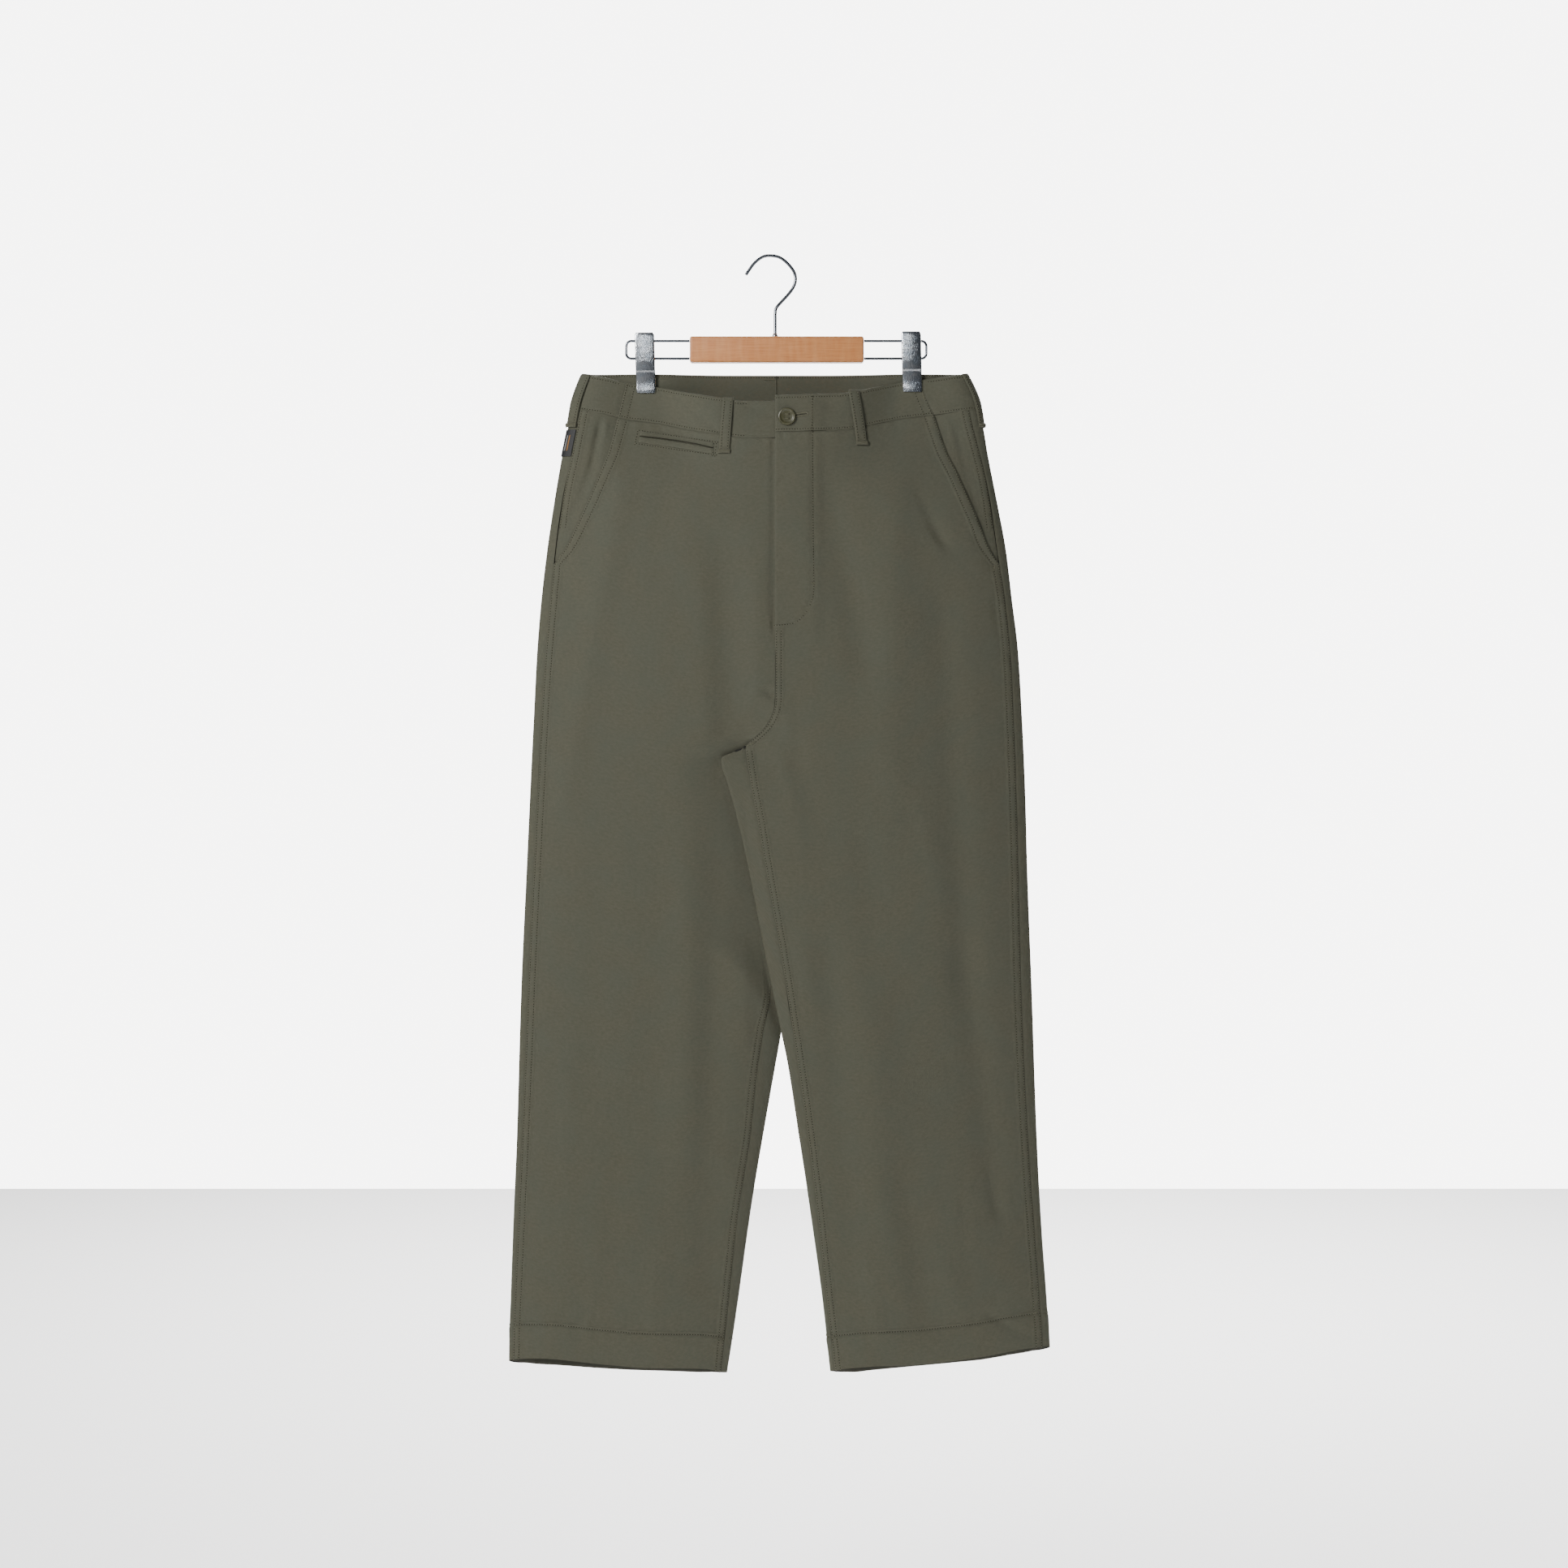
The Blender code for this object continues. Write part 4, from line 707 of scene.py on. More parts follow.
def cloth_piece(name, outer, thickness, sign, bulge=(0.04, 0.04, 0.04, 0.04), rim=1, inside=1.0,
                material=None, extra=None):
    """A closed shell of cloth. bulge is how far its top, right, low and left rims round outwards."""
    rows, columns = outer.shape[:2]
    normals = outward(outer, sign)
    inner_skin = outer - normals * thickness
    count = rows * columns
    index = np.arange(count).reshape(rows, columns)
    faces = grid_faces(index) + grid_faces(index + count)
    edge = np.concatenate([index[0, :-1], index[:-1, -1], index[-1, :0:-1], index[:0:-1, 0]])
    out = np.zeros((rows, columns, 3))
    rims = ((np.s_[0, :], np.s_[1, :]), (np.s_[:, -1], np.s_[:, -2]),
            (np.s_[-1, :], np.s_[-2, :]), (np.s_[:, 0], np.s_[:, 1]))
    for amount, (cells, before) in zip(bulge, rims):
        way = outer[cells] - outer[before]
        out[cells] += amount * way / np.maximum(np.linalg.norm(way, axis=1, keepdims=True), 1e-9)
    flat_normals, flat_out = normals.reshape(-1, 3)[edge], out.reshape(-1, 3)[edge]
    middle = outer.reshape(-1, 3)[edge] - flat_normals * thickness / 2
    points = [outer.reshape(-1, 3), inner_skin.reshape(-1, 3)]
    loops = [edge]
    for k in range(1, rim + 1):
        angle = math.pi * k / (rim + 1)
        points.append(middle + flat_normals * thickness / 2 * math.cos(angle) + flat_out * math.sin(angle))
        loops.append(2 * count + (k - 1) * len(edge) + np.arange(len(edge)))
    loops.append(edge + count)
    faces += grid_faces(np.array(loops), ring=True)
    start, end = row_gaps(outer)
    top, low = column_gaps(outer)
    share = start / np.maximum(start + end, 1e-9)
    uv = np.stack([(share - 0.5) * (start + end), -top], axis=2).reshape(-1, 2) * MM
    uv = np.concatenate([uv, uv] + [uv[edge]] * rim)
    # The inner skin is darkened by inside and the rim by a third of it; on belt loops and welts this is painted
    # shade.
    dark = np.concatenate([np.zeros(count), np.full(count, inside), np.full(rim * len(edge), 0.3 * inside)])
    values = {"inside": dark}
    for key, value in (extra or {}).items():
        flat = np.asarray(value, float).ravel()
        values[key] = np.concatenate([flat, flat * 0, np.tile(flat[edge], rim)])
    made = make_mesh(name + "_cloth", np.concatenate(points), faces, material or CLOTH_FACE, values, uv)
    SKINS[name] = (outer, normals, inner_skin)
    diagonals = outer[1:, 1:] - outer[:-1, :-1], outer[:-1, 1:] - outer[1:, :-1]
    cells = np.linalg.norm(np.cross(*diagonals), axis=2) / 2
    width, length, area = (start + end).max() * MM, (top + low).max() * MM, cells.sum() * MM * MM
    FLAT_SIZES[name] = (width, length, min(area, width * length))
    return made


def dress(made, slot, *nodes):
    """Put a piece on the garment's body, in place of its solids."""
    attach(made, "root")
    if nodes:
        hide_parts(*nodes)


def sew_in(name, made):
    """Put a finished cloth piece on the garment's body in place of its solids, and print the size of its cut."""
    dress(made, "cloth", name)
    width, length, area = FLAT_SIZES[name]
    length = max(length, 0.0105)  # a welt is a strip folded lengthwise, and one layer shows
    print(f"{name}: {width * 1000:.0f} x {length * 1000:.0f} mm, {area * 1e4:.0f} cm2,",
          len(made.data.polygons), "faces")


def edge_places(total, start, end, step_count):
    """Column places along a row: crowded places at each end, even between."""
    inset = 0.04
    start, end = inset + np.array(start), total - inset - np.array(end)[::-1]
    middle = np.linspace(start[-1], end[0], step_count + 1)[1:-1]
    return np.concatenate([start, middle, end])


def stitched(second):
    """Crowded places beside an edge with two stitch rows, one of them this far in."""
    return (0, 0.5, 1.0, 1.5, 2.0, 2.8, 0.6 * second, second - 1.6, second - 0.7, second, second + 0.7,
            second + 1.6, second + 2.8, second + 4.6)


FOLDED = (0, 0.5, 1.2, 2.2, 3.6, 5.4)
PANEL_DOWNS = np.concatenate([
    WAIST_SEAM - 0.15 + np.array([0, 0.5, 1.1, 1.9, 3.0, 4.6]), np.arange(160.6, 1044, 3.1),
    np.array([1046, 1048, 1049.4, 1050.4, 1051.2, 1052, 1052.8, 1053.5, 1054.2, 1055, 1056.4]),
    np.arange(1058.8, 1081, 3.1), np.array([1082.5, 1084.2, 1085.4, 1086.3, HEM])])
BAND_DOWNS = np.concatenate([
    WAIST_TOP + np.array([0, 0.4, 0.9, 1.5, 2.0, 2.5, 3.2, 4.4]), np.arange(125, 147, 2.6),
    WAIST_SEAM + 0.15 - np.array([4.4, 3.2, 2.5, 2.0, 1.5, 1.0, 0.5, 0])])
print("rows of a panel:", len(PANEL_DOWNS))

# %% [markdown]
# ### Front panels and pocket facings


# %% Front panels
def second_row(down):
    """Distance of the second stitch row from the pocket edge, then from the side seam."""
    return BAND_ROW - (BAND_ROW - SIDE_ROW) * float(ease(down, 288, 306))


FLY_STITCH = np.array([(39.6, 136), (40.0, 200), (40.6, 285.4), (41.3, 325.2), (40.6, 335), (37.3, 343.9),
                       (33.4, 351.6), (28.1, 357.8), (23.4, 361), (17.6, 362.5), (10, 363.4), (3.9, 363.7)])


def gap_to_line(x, down, line):
    """Distance from points to a line of x and down."""
    best = np.full(x.shape, 1e9)
    for (x0, d0), (x1, d1) in zip(line, line[1:]):
        length = math.hypot(x1 - x0, d1 - d0)
        t = np.clip(((x - x0) * (x1 - x0) + (down - d0) * (d1 - d0)) / length ** 2, 0, 1)
        best = np.minimum(best, np.hypot(x - x0 - t * (x1 - x0), down - d0 - t * (d1 - d0)))
    return best


def hem_relief(param, x, seed):
    """The turned-up hem: thicker below its edge, a stitch row and the puckers that it draws."""
    step = ease(param, HEM - HEM_TURN - 0.8, HEM - HEM_TURN + 1.2)
    gap = param - (HEM - HEM_ROW)
    folds = uneven(x + 0.3 * gap, 8.5, seed) + 0.6 * uneven(x, 4.7, seed + 1)
    pull = np.where(gap < 0, np.exp(-(gap / 15) ** 2), np.exp(-(gap / 9) ** 2))
    return (0.5 * step - 0.75 * np.exp(-(gap / 1.0) ** 2) + 0.5 * folds * pull
            + 0.2 * uneven(x, 21, seed + 2) * ease(param, HEM - 30, HEM))


def front_panel(side):
    right = side == "right"
    rows = []
    for down in PANEL_DOWNS:
        outer_x, inner_x = front_edge(side, down), rise_at(side, down)
        start, end = (inner_x, outer_x) if right else (outer_x, inner_x)
        line = stretch(side, start + (end - start) * np.linspace(0, 1, FINE), down, "front")
        near, far = stitched(RISE_ROW), stitched(second_row(down))
        if not right:
            near, far = far, near
        rows.append(spread(line, edge_places(lengths_of(line)[-1], near, far, 62)))
    grid = np.array(rows)
    x, down, param = grid[..., 0], -grid[..., 2], PANEL_DOWNS[:, None] + 0 * grid[..., 0]
    from_start, from_end = row_gaps(grid)
    outer_gap, inner_gap = (from_end, from_start) if right else (from_start, from_end)
    seed = 11 if right else 5
    seconds = np.array([second_row(d) for d in PANEL_DOWNS])[:, None]
    seam = seam_relief(outer_gap, param, seed, seconds)
    relief = seam + seam_relief(np.maximum(param - WAIST_SEAM, 0), x, seed + 3, 2.0, 0.15, False, 0.35)
    relief = relief + hem_relief(param, x, seed + 5)
    rise = seam_relief(inner_gap, param, seed + 7, RISE_ROW)
    if right:
        fold = -0.35 * (1 - ease(inner_gap, 0, 1.5))
        fold = fold + 0.25 * uneven(param, 24, 31) * np.exp(-(inner_gap / 9) ** 2)
        relief = relief + fold + (rise - fold) * ease(param, FLY_END - 2, FLY_END + 8)
        gap = gap_to_line(x, down, FLY_STITCH)
        relief = (relief - 0.85 * np.exp(-(gap / 1.5) ** 2)
                  + 0.4 * uneven(param + x, 7, 17) * np.exp(-(gap / 7) ** 2))
    else:
        relief = relief + rise * ease(param, FORK + 40, FORK + 80)
        relief = relief - 1.2 * np.exp(-((x - 1.4) / 2.2) ** 2) * (1 - ease(param, FLY_END, FLY_END + 10))
    soft = creases(FRONT_CREASES, x, down) + waves_all(x, down, seed + 20)
    soft = soft * (1 - pinch(x, param)) * ease(np.abs(x - along(BODY, side, param)), 2, 12)
    if not right:
        behind = ease(x, along(LEG_RIGHT, "fold", param) - 9, along(LEG_RIGHT, "fold", param) - 3)
        behind = behind * ease(param, FORK_TOP, FORK - 8)
        under = ease(x, -4, 1.5) * (1 - ease(param, FLY_END + 4, FLY_END + 30))
        relief, soft = relief * (1 - behind), soft * (1 - behind) * (1 - under)
    grid = grid + outward(grid, -1) * (relief + soft)[..., None]
    if right:
        over = (1 - ease(x, FLY_WIDTH, FLY_WIDTH + 16)) * (1 - ease(param, FLY_END + 3, FLY_END + 34))
        grid[..., 1] -= (CLOTH + LAY_GAP) * over
    return cloth_piece("front_" + side, grid, CLOTH, -1)


def pocket_facing(side):
    """Behind the slanted edge, from under the front to the side seam."""
    left = side == "left"
    downs = [d for d in PANEL_DOWNS if hang(side, slant_at(side, d), -20.0, d, True) < POCKET_END - 2]
    rows, sunk = [], []
    for down in downs:
        seam, edge = along(BODY, "seam_" + side, down), slant_at(side, down)
        start, end = (seam, edge + 8) if left else (edge - 8, seam)
        line = stretch(side, start + (end - start) * np.linspace(0, 1, FINE), down, "front")
        near, far = (stitched(SIDE_ROW), (0, 1.5)) if left else ((0, 1.5), stitched(SIDE_ROW))
        total = lengths_of(line)[-1]
        scale = min(1.0, total / 24)
        rows.append(spread(line, edge_places(total, np.array(near) * scale, np.array(far) * scale, 16)))
        share = np.clip((rows[-1][:, 0] - seam) / (edge - seam), 0, 1)
        sunk.append(-(CLOTH + 2 * LAY_GAP) * np.maximum(share, ease(down, 200, 270)))
    grid, sunk = np.array(rows), np.array(sunk)
    x, param = grid[..., 0], np.array(downs)[:, None] + 0 * grid[..., 0]
    gap = row_gaps(grid)[0 if left else 1]
    relief = seam_relief(gap, param, 41 if left else 43, SIDE_ROW) * ease(290 - param, 0, 60)
    bow = (creases(FACING_CREASES, x, -grid[..., 2]) + 0.35 * waves_all(x, param, 47))
    shown = np.clip((np.array([slant_at(side, d) for d in downs])[:, None] - x) * (1 if left else -1), 0, None)
    relief = relief + bow * ease(shown, 0.5, 7) * (1 - ease(param, 255, 285))
    grid = grid + outward(grid, -1) * (sunk + relief)[..., None]
    return cloth_piece("pocket_facing_" + side, grid, CLOTH, -1)


for side in ("left", "right"):
    sew_in("front_" + side, front_panel(side))
    sew_in("pocket_facing_" + side, pocket_facing(side))

# %% [markdown]
# ### Back panels


# %% Back panels
def fine_back_row(side, down, start, counts):
    """From the side seam round the outer fold, over the back, to the inner edge."""
    outer, legs = along(BODY, side, down), inner(side)
    fold = along(legs, "fold", down)
    t = np.linspace(0, 1, FINE)
    first = stretch(side, outer + (start - outer) * (1 - t) ** 2, down, "front")
    to_fold = lengths_of(first)[-1]
    has_fold = down > FORK_TOP if side == "left" else down > FORK
    end = fold if down > FORK_TOP else CENTRE_BACK + (0.25 if side == "left" else -0.25)
    behind = stretch(side, outer + (end - outer) * (1 - np.cos(math.pi * t)) / 2, down, "back")
    points = np.vstack([first, behind[1:]])
    inner_fold = lengths_of(points)[-1]
    if has_fold:
        seam = along(legs, "seam", down)
        points = np.vstack([points, stretch(side, fold + (seam - fold) * t ** 2, down, "strip")])
    total = lengths_of(points)[-1]
    inner_fold = min(inner_fold, total - 6.0)
    bend = min(BEND, (total - inner_fold) / 2)
    edge = 0.04
    apart = edge + sum(0.4 * math.exp(-((down - turn) / width) ** 2)
                       for turn, width in ((FORK_TOP, 6), (738, 14)))
    early = min(BEND, to_fold / 2)
    marks = (edge, to_fold - early, to_fold + BEND, inner_fold - BEND, inner_fold + bend, total - apart)
    places = [np.linspace(a, b, n, endpoint=False) for a, b, n in zip(marks, marks[1:], counts)]
    places = np.concatenate(places + [[marks[-1]]])
    return spread(points, places)


def back_panel(side):
    rows = [fine_back_row(side, down, along(BODY, "seam_" + side, down), (5, 9, 66, 9, 9))
            for down in PANEL_DOWNS]
    grid = np.array(rows)
    sign = 1 if side == "left" else -1
    x, down = grid[..., 0], -grid[..., 2]
    param = PANEL_DOWNS[:, None] + 0 * x
    start, end = row_gaps(grid)
    seed = 61 if side == "left" else 71
    at_back = ease(np.abs(x - along(BODY, side, param)), 3, 14) * ease(start, 14, 24)
    legs = inner(side)
    at_back = at_back * (1 - ease(param, FORK_TOP - 30, FORK_TOP)
                         * (1 - ease(np.abs(x - along(legs, "fold", param)), 4, 22)))
    strip = np.where(param > FORK, np.abs(along(legs, "seam", param) - along(legs, "fold", param)), 0)
    facing_back = ease(end - strip, 3, 10)
    soft = (creases(BACK_CREASES, x, down) + waves_all(x + 300, down, seed)) * at_back * facing_back
    on_top = side == "right"  # the right back's allowance lies under the stitched rows
    middle = seam_relief(end, param, seed + 4, RISE_ROW, 0.4 if on_top else 0.1, on_top)
    middle = middle * (1 - ease(param, FORK_TOP - 40, FORK_TOP - 10))
    waist = seam_relief(np.maximum(param - WAIST_SEAM, 0), x, seed + 8, 2.0, 0.12, False, 0.3)
    hem = hem_relief(param, x, seed + 11)
    edge = -0.35 * (1 - ease(start, 0, 1.4)) - 0.35 * (1 - ease(end, 0, 1.4)) * ease(param, FORK_TOP, FORK)
    relief = soft + (middle + waist * ease(start, 4, 12)) * (1 - pinch(x, param)) + hem * ease(start, 1, 6) + edge
    if side == "right":
        tucked = ease(param, FORK - 20, FORK + 6) * (1 - ease(param, 735, 770))
        across = 1 - ease(x, along(LEG_LEFT, "fold", param) - 2, along(LEG_LEFT, "fold", param) + 12)
        relief = relief * (1 - tucked * across * (start < start[:, -1:] * 0.93))
    else:
        relief = relief * (1 - (end < 16) * ease(param, FORK_TOP, FORK))
    grid = grid + outward(grid, sign) * relief[..., None]
    return cloth_piece("back_" + side, grid, CLOTH, sign)


for side in ("left", "right"):
    sew_in("back_" + side, back_panel(side))

# %% [markdown]
# ### Waistband, belt loops and welts


# %% Waistband
def band_relief(grid, param, seed):
    """A doubled band: soft top edge, a stitch row 2 mm inside each long edge, faint ripples."""
    x = grid[..., 0]
    top, low = param - WAIST_TOP, WAIST_SEAM - param
    relief = 0.18 * (1 - ease(top, 2, 4)) - 0.18 * np.exp(-((top - 2) / 0.6) ** 2)
    relief = relief - 0.4 * (1 - ease(low, 0, 1.2)) - 0.2 * np.exp(-((low - 2) / 0.6) ** 2)
    folds = uneven(x + 0.4 * low, 6.5, seed) + 0.5 * uneven(x, 3.7, seed + 1)
    relief = relief + 0.22 * folds * (np.exp(-(low / 8) ** 2) + 0.5 * np.exp(-(top / 6) ** 2))
    return relief + 0.3 * waves(x, param, 26, seed + 2)


def waist_piece(name, side, rows, sign, over=0):
    grid = np.array(rows)
    x, param = grid[..., 0], BAND_DOWNS[:, None] + 0 * grid[..., 0]
    relief = band_relief(grid, param, 80 + sign + 3 * (side == "left"))
    relief = relief + creases(BAND_CREASES, x, -grid[..., 2]) * over
    start, end = row_gaps(grid)
    relief = relief - 0.4 * (1 - ease(start, 0, 1.2)) - 0.4 * (1 - ease(end, 0, 1.2))
    if over:
        outer_gap = start if side == "left" else end
        relief = relief + 0.35 * (1 - ease(outer_gap, 9.5, 12)) - 0.2 * np.exp(-((outer_gap - 9) / 0.7) ** 2)
    from_clip = np.abs(x - CLIP_X[0 if side == "left" else 1])
    relief = relief * (1 - pinch(x, param) * (1 - ease(from_clip, 12, 22)))
    if name == "waistband_front_left":
        relief = relief * (1 - ease(x, -3, 1))
    grid = grid + outward(grid, sign) * relief[..., None]
    if name == "waistband_front_right":
        grid[..., 1] -= (BAND + LAY_GAP) * (1 - ease(x, FLY_WIDTH, FLY_WIDTH + 22))
    return cloth_piece(name, grid, BAND, sign, bulge=(0.8, 0.04, 0.04, 0.04), rim=3, inside=0.0)


def band_front_row(side, down):
    start, end = ((slant_at("left", down), FLY_EDGE + BAND_UNDERLAP) if side == "left"
                  else (FLY_EDGE, slant_at("right", down)))
    line = stretch(side, start + (end - start) * np.linspace(0, 1, FINE), down, "front")
    near, far = (stitched(BAND_ROW), FOLDED) if side == "left" else (FOLDED, stitched(BAND_ROW))
    return spread(line, edge_places(lengths_of(line)[-1], near, far, 52))


for side, sign in (("left", 1), ("right", -1)):
    name = "waistband_front_" + side
    rows = [band_front_row(side, down) for down in BAND_DOWNS]
    sew_in(name, waist_piece(name, side, rows, -1, over=1))
    name = "waistband_back_" + side
    rows = [fine_back_row(side, down, slant_at(side, down), (14, 12, 74, 3, 4)) for down in BAND_DOWNS]
    sew_in(name, waist_piece(name, side, rows, sign))


# %% Belt loops and welts
def front_y(side, x, down):
    """y of the front's outer face at a real height."""
    param = down + 0 * x
    for _ in range(8):
        param = param + down - hang(side, x, front_wall(side, x, param), param, True)
    return front_wall(side, x, param)


def patch(corners, columns, rows):
    """A grid on the front between four corners, each x and down."""
    top_left, top_right, low_left, low_right = np.array(corners, float)
    r = np.asarray(rows)[:, None, None]
    c = np.asarray(columns)[None, :, None]
    flat = (top_left * (1 - r) + low_left * r) * (1 - c) + (top_right * (1 - r) + low_right * r) * c
    x, down = flat[..., 0], flat[..., 1]
    side = "left" if x.mean() < FLY_EDGE else "right"
    return np.stack([x, front_y(side, x, down), -down], axis=2)


LOOP_ACROSS = np.array([0, 0.04, 0.1, 0.16, 0.22, 0.3, 0.42, 0.58, 0.7, 0.78, 0.84, 0.9, 0.96, 1.0])
LOOP_DOWN = np.concatenate([
    [0, 0.008, 0.02], np.linspace(0.05, 0.9, 24), [0.918, 0.93, 0.94, 0.955, 0.97, 0.985, 1.0]])
LOOP_WIDTH = 10.2


def loop_shape(grid, sign, lift, seed):
    """Lift, rounded edges and the folded tab at the low end of a belt loop."""
    t, s = LOOP_DOWN[:, None], LOOP_ACROSS[None, :]
    tab = ease(t, 0.915, 0.935)
    edge = np.minimum(s, 1 - s) * LOOP_WIDTH
    relief = lift + 0.9 * np.sin(math.pi * np.clip(t / 0.93, 0, 1)) + 0.75 * tab
    relief = relief - 0.45 * (1 - ease(edge, 0, 1.4)) - 0.16 * np.exp(-((edge - 2.1) / 0.5) ** 2)
    relief = relief - 0.5 * (1 - ease(t, 0, 0.03)) - 0.5 * ease(t, 0.975, 1.0)
    relief = relief + 0.12 * uneven(t * 55 + 3 * s, 5, seed)
    middle = grid.mean(axis=1, keepdims=True)
    normals = outward(grid, sign)
    wide = middle + (grid - middle) * (1 + 0.14 * tab[..., None])
    return wide + normals * relief[..., None]


def loop_piece(name, grid, sign, seed, lift=2 * LAY_GAP + TAPE - 0.1):
    # Painted shade: the loop's inner skin is darkened to 0.6, for the shade under the loop.
    made = cloth_piece(name, loop_shape(grid, sign, lift, seed), TAPE, sign,
                       bulge=(0.5, 0.4, 0.4, 0.4), rim=2, inside=0.6)
    sew_in(name, made)


def side_grid(side, downs, before, after, columns):
    """A grid over the outer fold: before and after are lengths on its front and its back."""
    rows = []
    inwards = 1 if side == "left" else -1
    t = np.linspace(0, 1, FINE)
    for down, far, near in zip(downs, before, after):
        outer = along(BODY, side, down)
        first = stretch(side, outer + inwards * 30 * (1 - t) ** 2, down, "front")
        second = stretch(side, outer + inwards * 30 * t ** 2, down, "back")
        fold = lengths_of(first)[-1]
        rows.append(spread(np.vstack([first, second[1:]]), fold - far + (far + near) * np.asarray(columns)))
    return np.array(rows)


for side, behind, seed in (("left", 0.0, 101), ("right", 0.38, 102)):
    downs = WAIST_TOP - 1 + (170 - WAIST_TOP + 1) * LOOP_DOWN
    ones = np.ones(len(downs)) * LOOP_WIDTH
    grid = side_grid(side, downs, ones * (1 - behind), ones * behind, LOOP_ACROSS)
    loop_piece("belt_loop_side_" + side, grid, 1 if side == "left" else -1, seed)
for side, top, low, seed in (("left", (-42.8, 141.0), (-46.6, 195.0), 103),
                             ("right", (80.2, 132.9), (88.7, 186.5), 104)):
    corners = [(x + half, down) for x, down in (top, low) for half in (-LOOP_WIDTH / 2, LOOP_WIDTH / 2)]
    grid = patch(corners, LOOP_ACROSS, LOOP_DOWN)
    loop_piece("belt_loop_front_" + side, grid, -1, seed)
for name, x0, seed in (("left", -107.6, 105), ("centre", -4.0, 106), ("right", 115.5, 107)):
    side = "left" if x0 < CENTRE_BACK else "right"
    x = x0 + (LOOP_ACROSS[None, :] - 0.5) * LOOP_WIDTH + 0 * LOOP_DOWN[:, None]
    down = WAIST_TOP - 1 + (WAIST_SEAM + 18 - WAIST_TOP + 1) * LOOP_DOWN[:, None] + 0 * x
    grid = np.stack([x, back_wall(side, x, down), -down], axis=2)
    loop_piece("belt_loop_back_" + name, grid, 1, seed)

WELT = ((-130.0, 177.4), (-57.0, 190.0))
for name, near, far in (("welt_upper", -5.4, -0.3), ("welt_lower", 0.3, 6.0)):
    (x0, d0), (x1, d1) = WELT
    t = np.linspace(0, 1, 34)
    rows = []
    for s in np.array([0, 0.1, 0.25, 0.5, 0.75, 0.9, 1.0]):
        bow = 0.9 * np.sin(math.pi * t)
        down = d0 + (d1 - d0) * t + near + (far - near) * s - bow
        x = x0 - 1.6 * (down - d0) / 12 * (1 - t) + (x1 - x0) * t
        rows.append(np.stack([x, front_y("left", x, down), -down], axis=1))
    grid = np.array(rows)
    top, low = column_gaps(grid)
    start, end = row_gaps(grid)
    edge = np.minimum(np.minimum(top, low), np.minimum(start, end))
    relief = 1.02 - 0.3 * (1 - ease(edge, 0, 1.3)) + 0.12 * uneven(grid[..., 0], 9, 111)
    grid = grid + outward(grid, -1) * relief[..., None]
    # Painted shade: the welt's inner skin is darkened to 0.6, for the shade under it.
    welt = cloth_piece(name, grid, 0.9, -1, rim=2, bulge=(0.3, 0.3, 0.3, 0.3), inside=0.6)
    sew_in(name, welt)

# %% [markdown]
# ### Turned-up hems and side label


# %% Hems and label
def hem_turn(side):
    """The end of the leg turned up inside it, a ring just clear of the panels."""
    steps = 150
    angle = 2 * math.pi * np.arange(steps) / steps
    aside = np.sign(np.cos(angle)) * np.abs(np.cos(angle)) ** 0.75
    clear = CLOTH + LAY_GAP
    heights = [HEM - HEM_TURN, HEM - 24, HEM - 12, HEM - 3, HEM - 0.6]
    profile = [(down, clear) for down in heights] + [(HEM - 0.1, clear + 0.5 * HEM_WALL)]
    profile += [(down, clear + HEM_WALL) for down in reversed(heights)]
    rings = []
    for down, depth in profile:
        outer, fold = along(BODY, side, down), along(inner(side), "fold", down)
        x = (outer + fold) / 2 + (abs(outer - fold) / 2 - 1.15 * depth) * aside
        front, back = front_wall(side, x, down + 0 * x), back_wall(side, x, down + 0 * x)
        wall = np.where(np.sin(angle) < 0, front, back)
        y = wall * (1 - depth / np.maximum(np.abs(wall), depth)) * np.sqrt(1 - np.abs(aside) ** 2.5)
        z = np.where(np.sin(angle) < 0, hang(side, x, y, down, True), hang(side, x, y, down, False))
        rings.append(np.stack([x, y, -z], axis=1))
    grid = np.array(rings)
    index = number(grid)
    faces = grid_faces(np.vstack([index, index[:1]]), ring=True)
    run = row_gaps(grid)[0]
    uv = np.stack([run, grid[..., 2]], axis=2).reshape(-1, 2) * MM
    # Painted shade: the whole ring is darkened halfway to near black, for the shade inside the leg.
    values = {"inside": np.full(index.size, 0.55)}
    made = make_mesh(f"hem_{side}_cloth", grid.reshape(-1, 3), faces, CLOTH_FACE, values, uv)
    width = run[0].max() * MM
    FLAT_SIZES["hem_" + side] = (width, HEM_TURN * MM, width * HEM_TURN * MM)
    return made


for side in ("left", "right"):
    sew_in("hem_" + side, hem_turn(side))

downs = np.linspace(172.5, 198.5, 22)
grid = side_grid("left", downs, np.linspace(11.4, 12.0, 22), np.linspace(0.2, 0.6, 22), np.linspace(0, 1, 15))
grid = grid + outward(grid, 1) * (LAY_GAP + 0.6 + 0.1 * uneven(downs, 7, 121))[:, None, None]
t, s = np.linspace(0, 1, 22)[:, None] + np.zeros((1, 15)), np.linspace(0, 1, 15)[None, :] + np.zeros((22, 1))
stripe = 0.55 * (np.abs(s - 0.64) < 0.04) * (t > 0.2) * (t < 0.8)
amber = 0.7 * (np.abs(s - 0.42) < 0.04) * (t > 0.2) * (t < 0.8)
tag = cloth_piece("label", grid, 0.6, 1, inside=0.0, material=LABEL_FACE,
                  extra={"stripe": stripe, "amber": amber})
dress(tag, "woven_label", "label")
print("cut in all:", round(sum(area for _, _, area in FLAT_SIZES.values()), 3), "square metres")

# %% [markdown]
# ## Topstitching
#
# Each row is a line that knows which way the cloth faces. One node tree spaces stitches along it and
# lays each one down. Bartacks and the buttonhole use the same tree with the stitch turned crosswise.


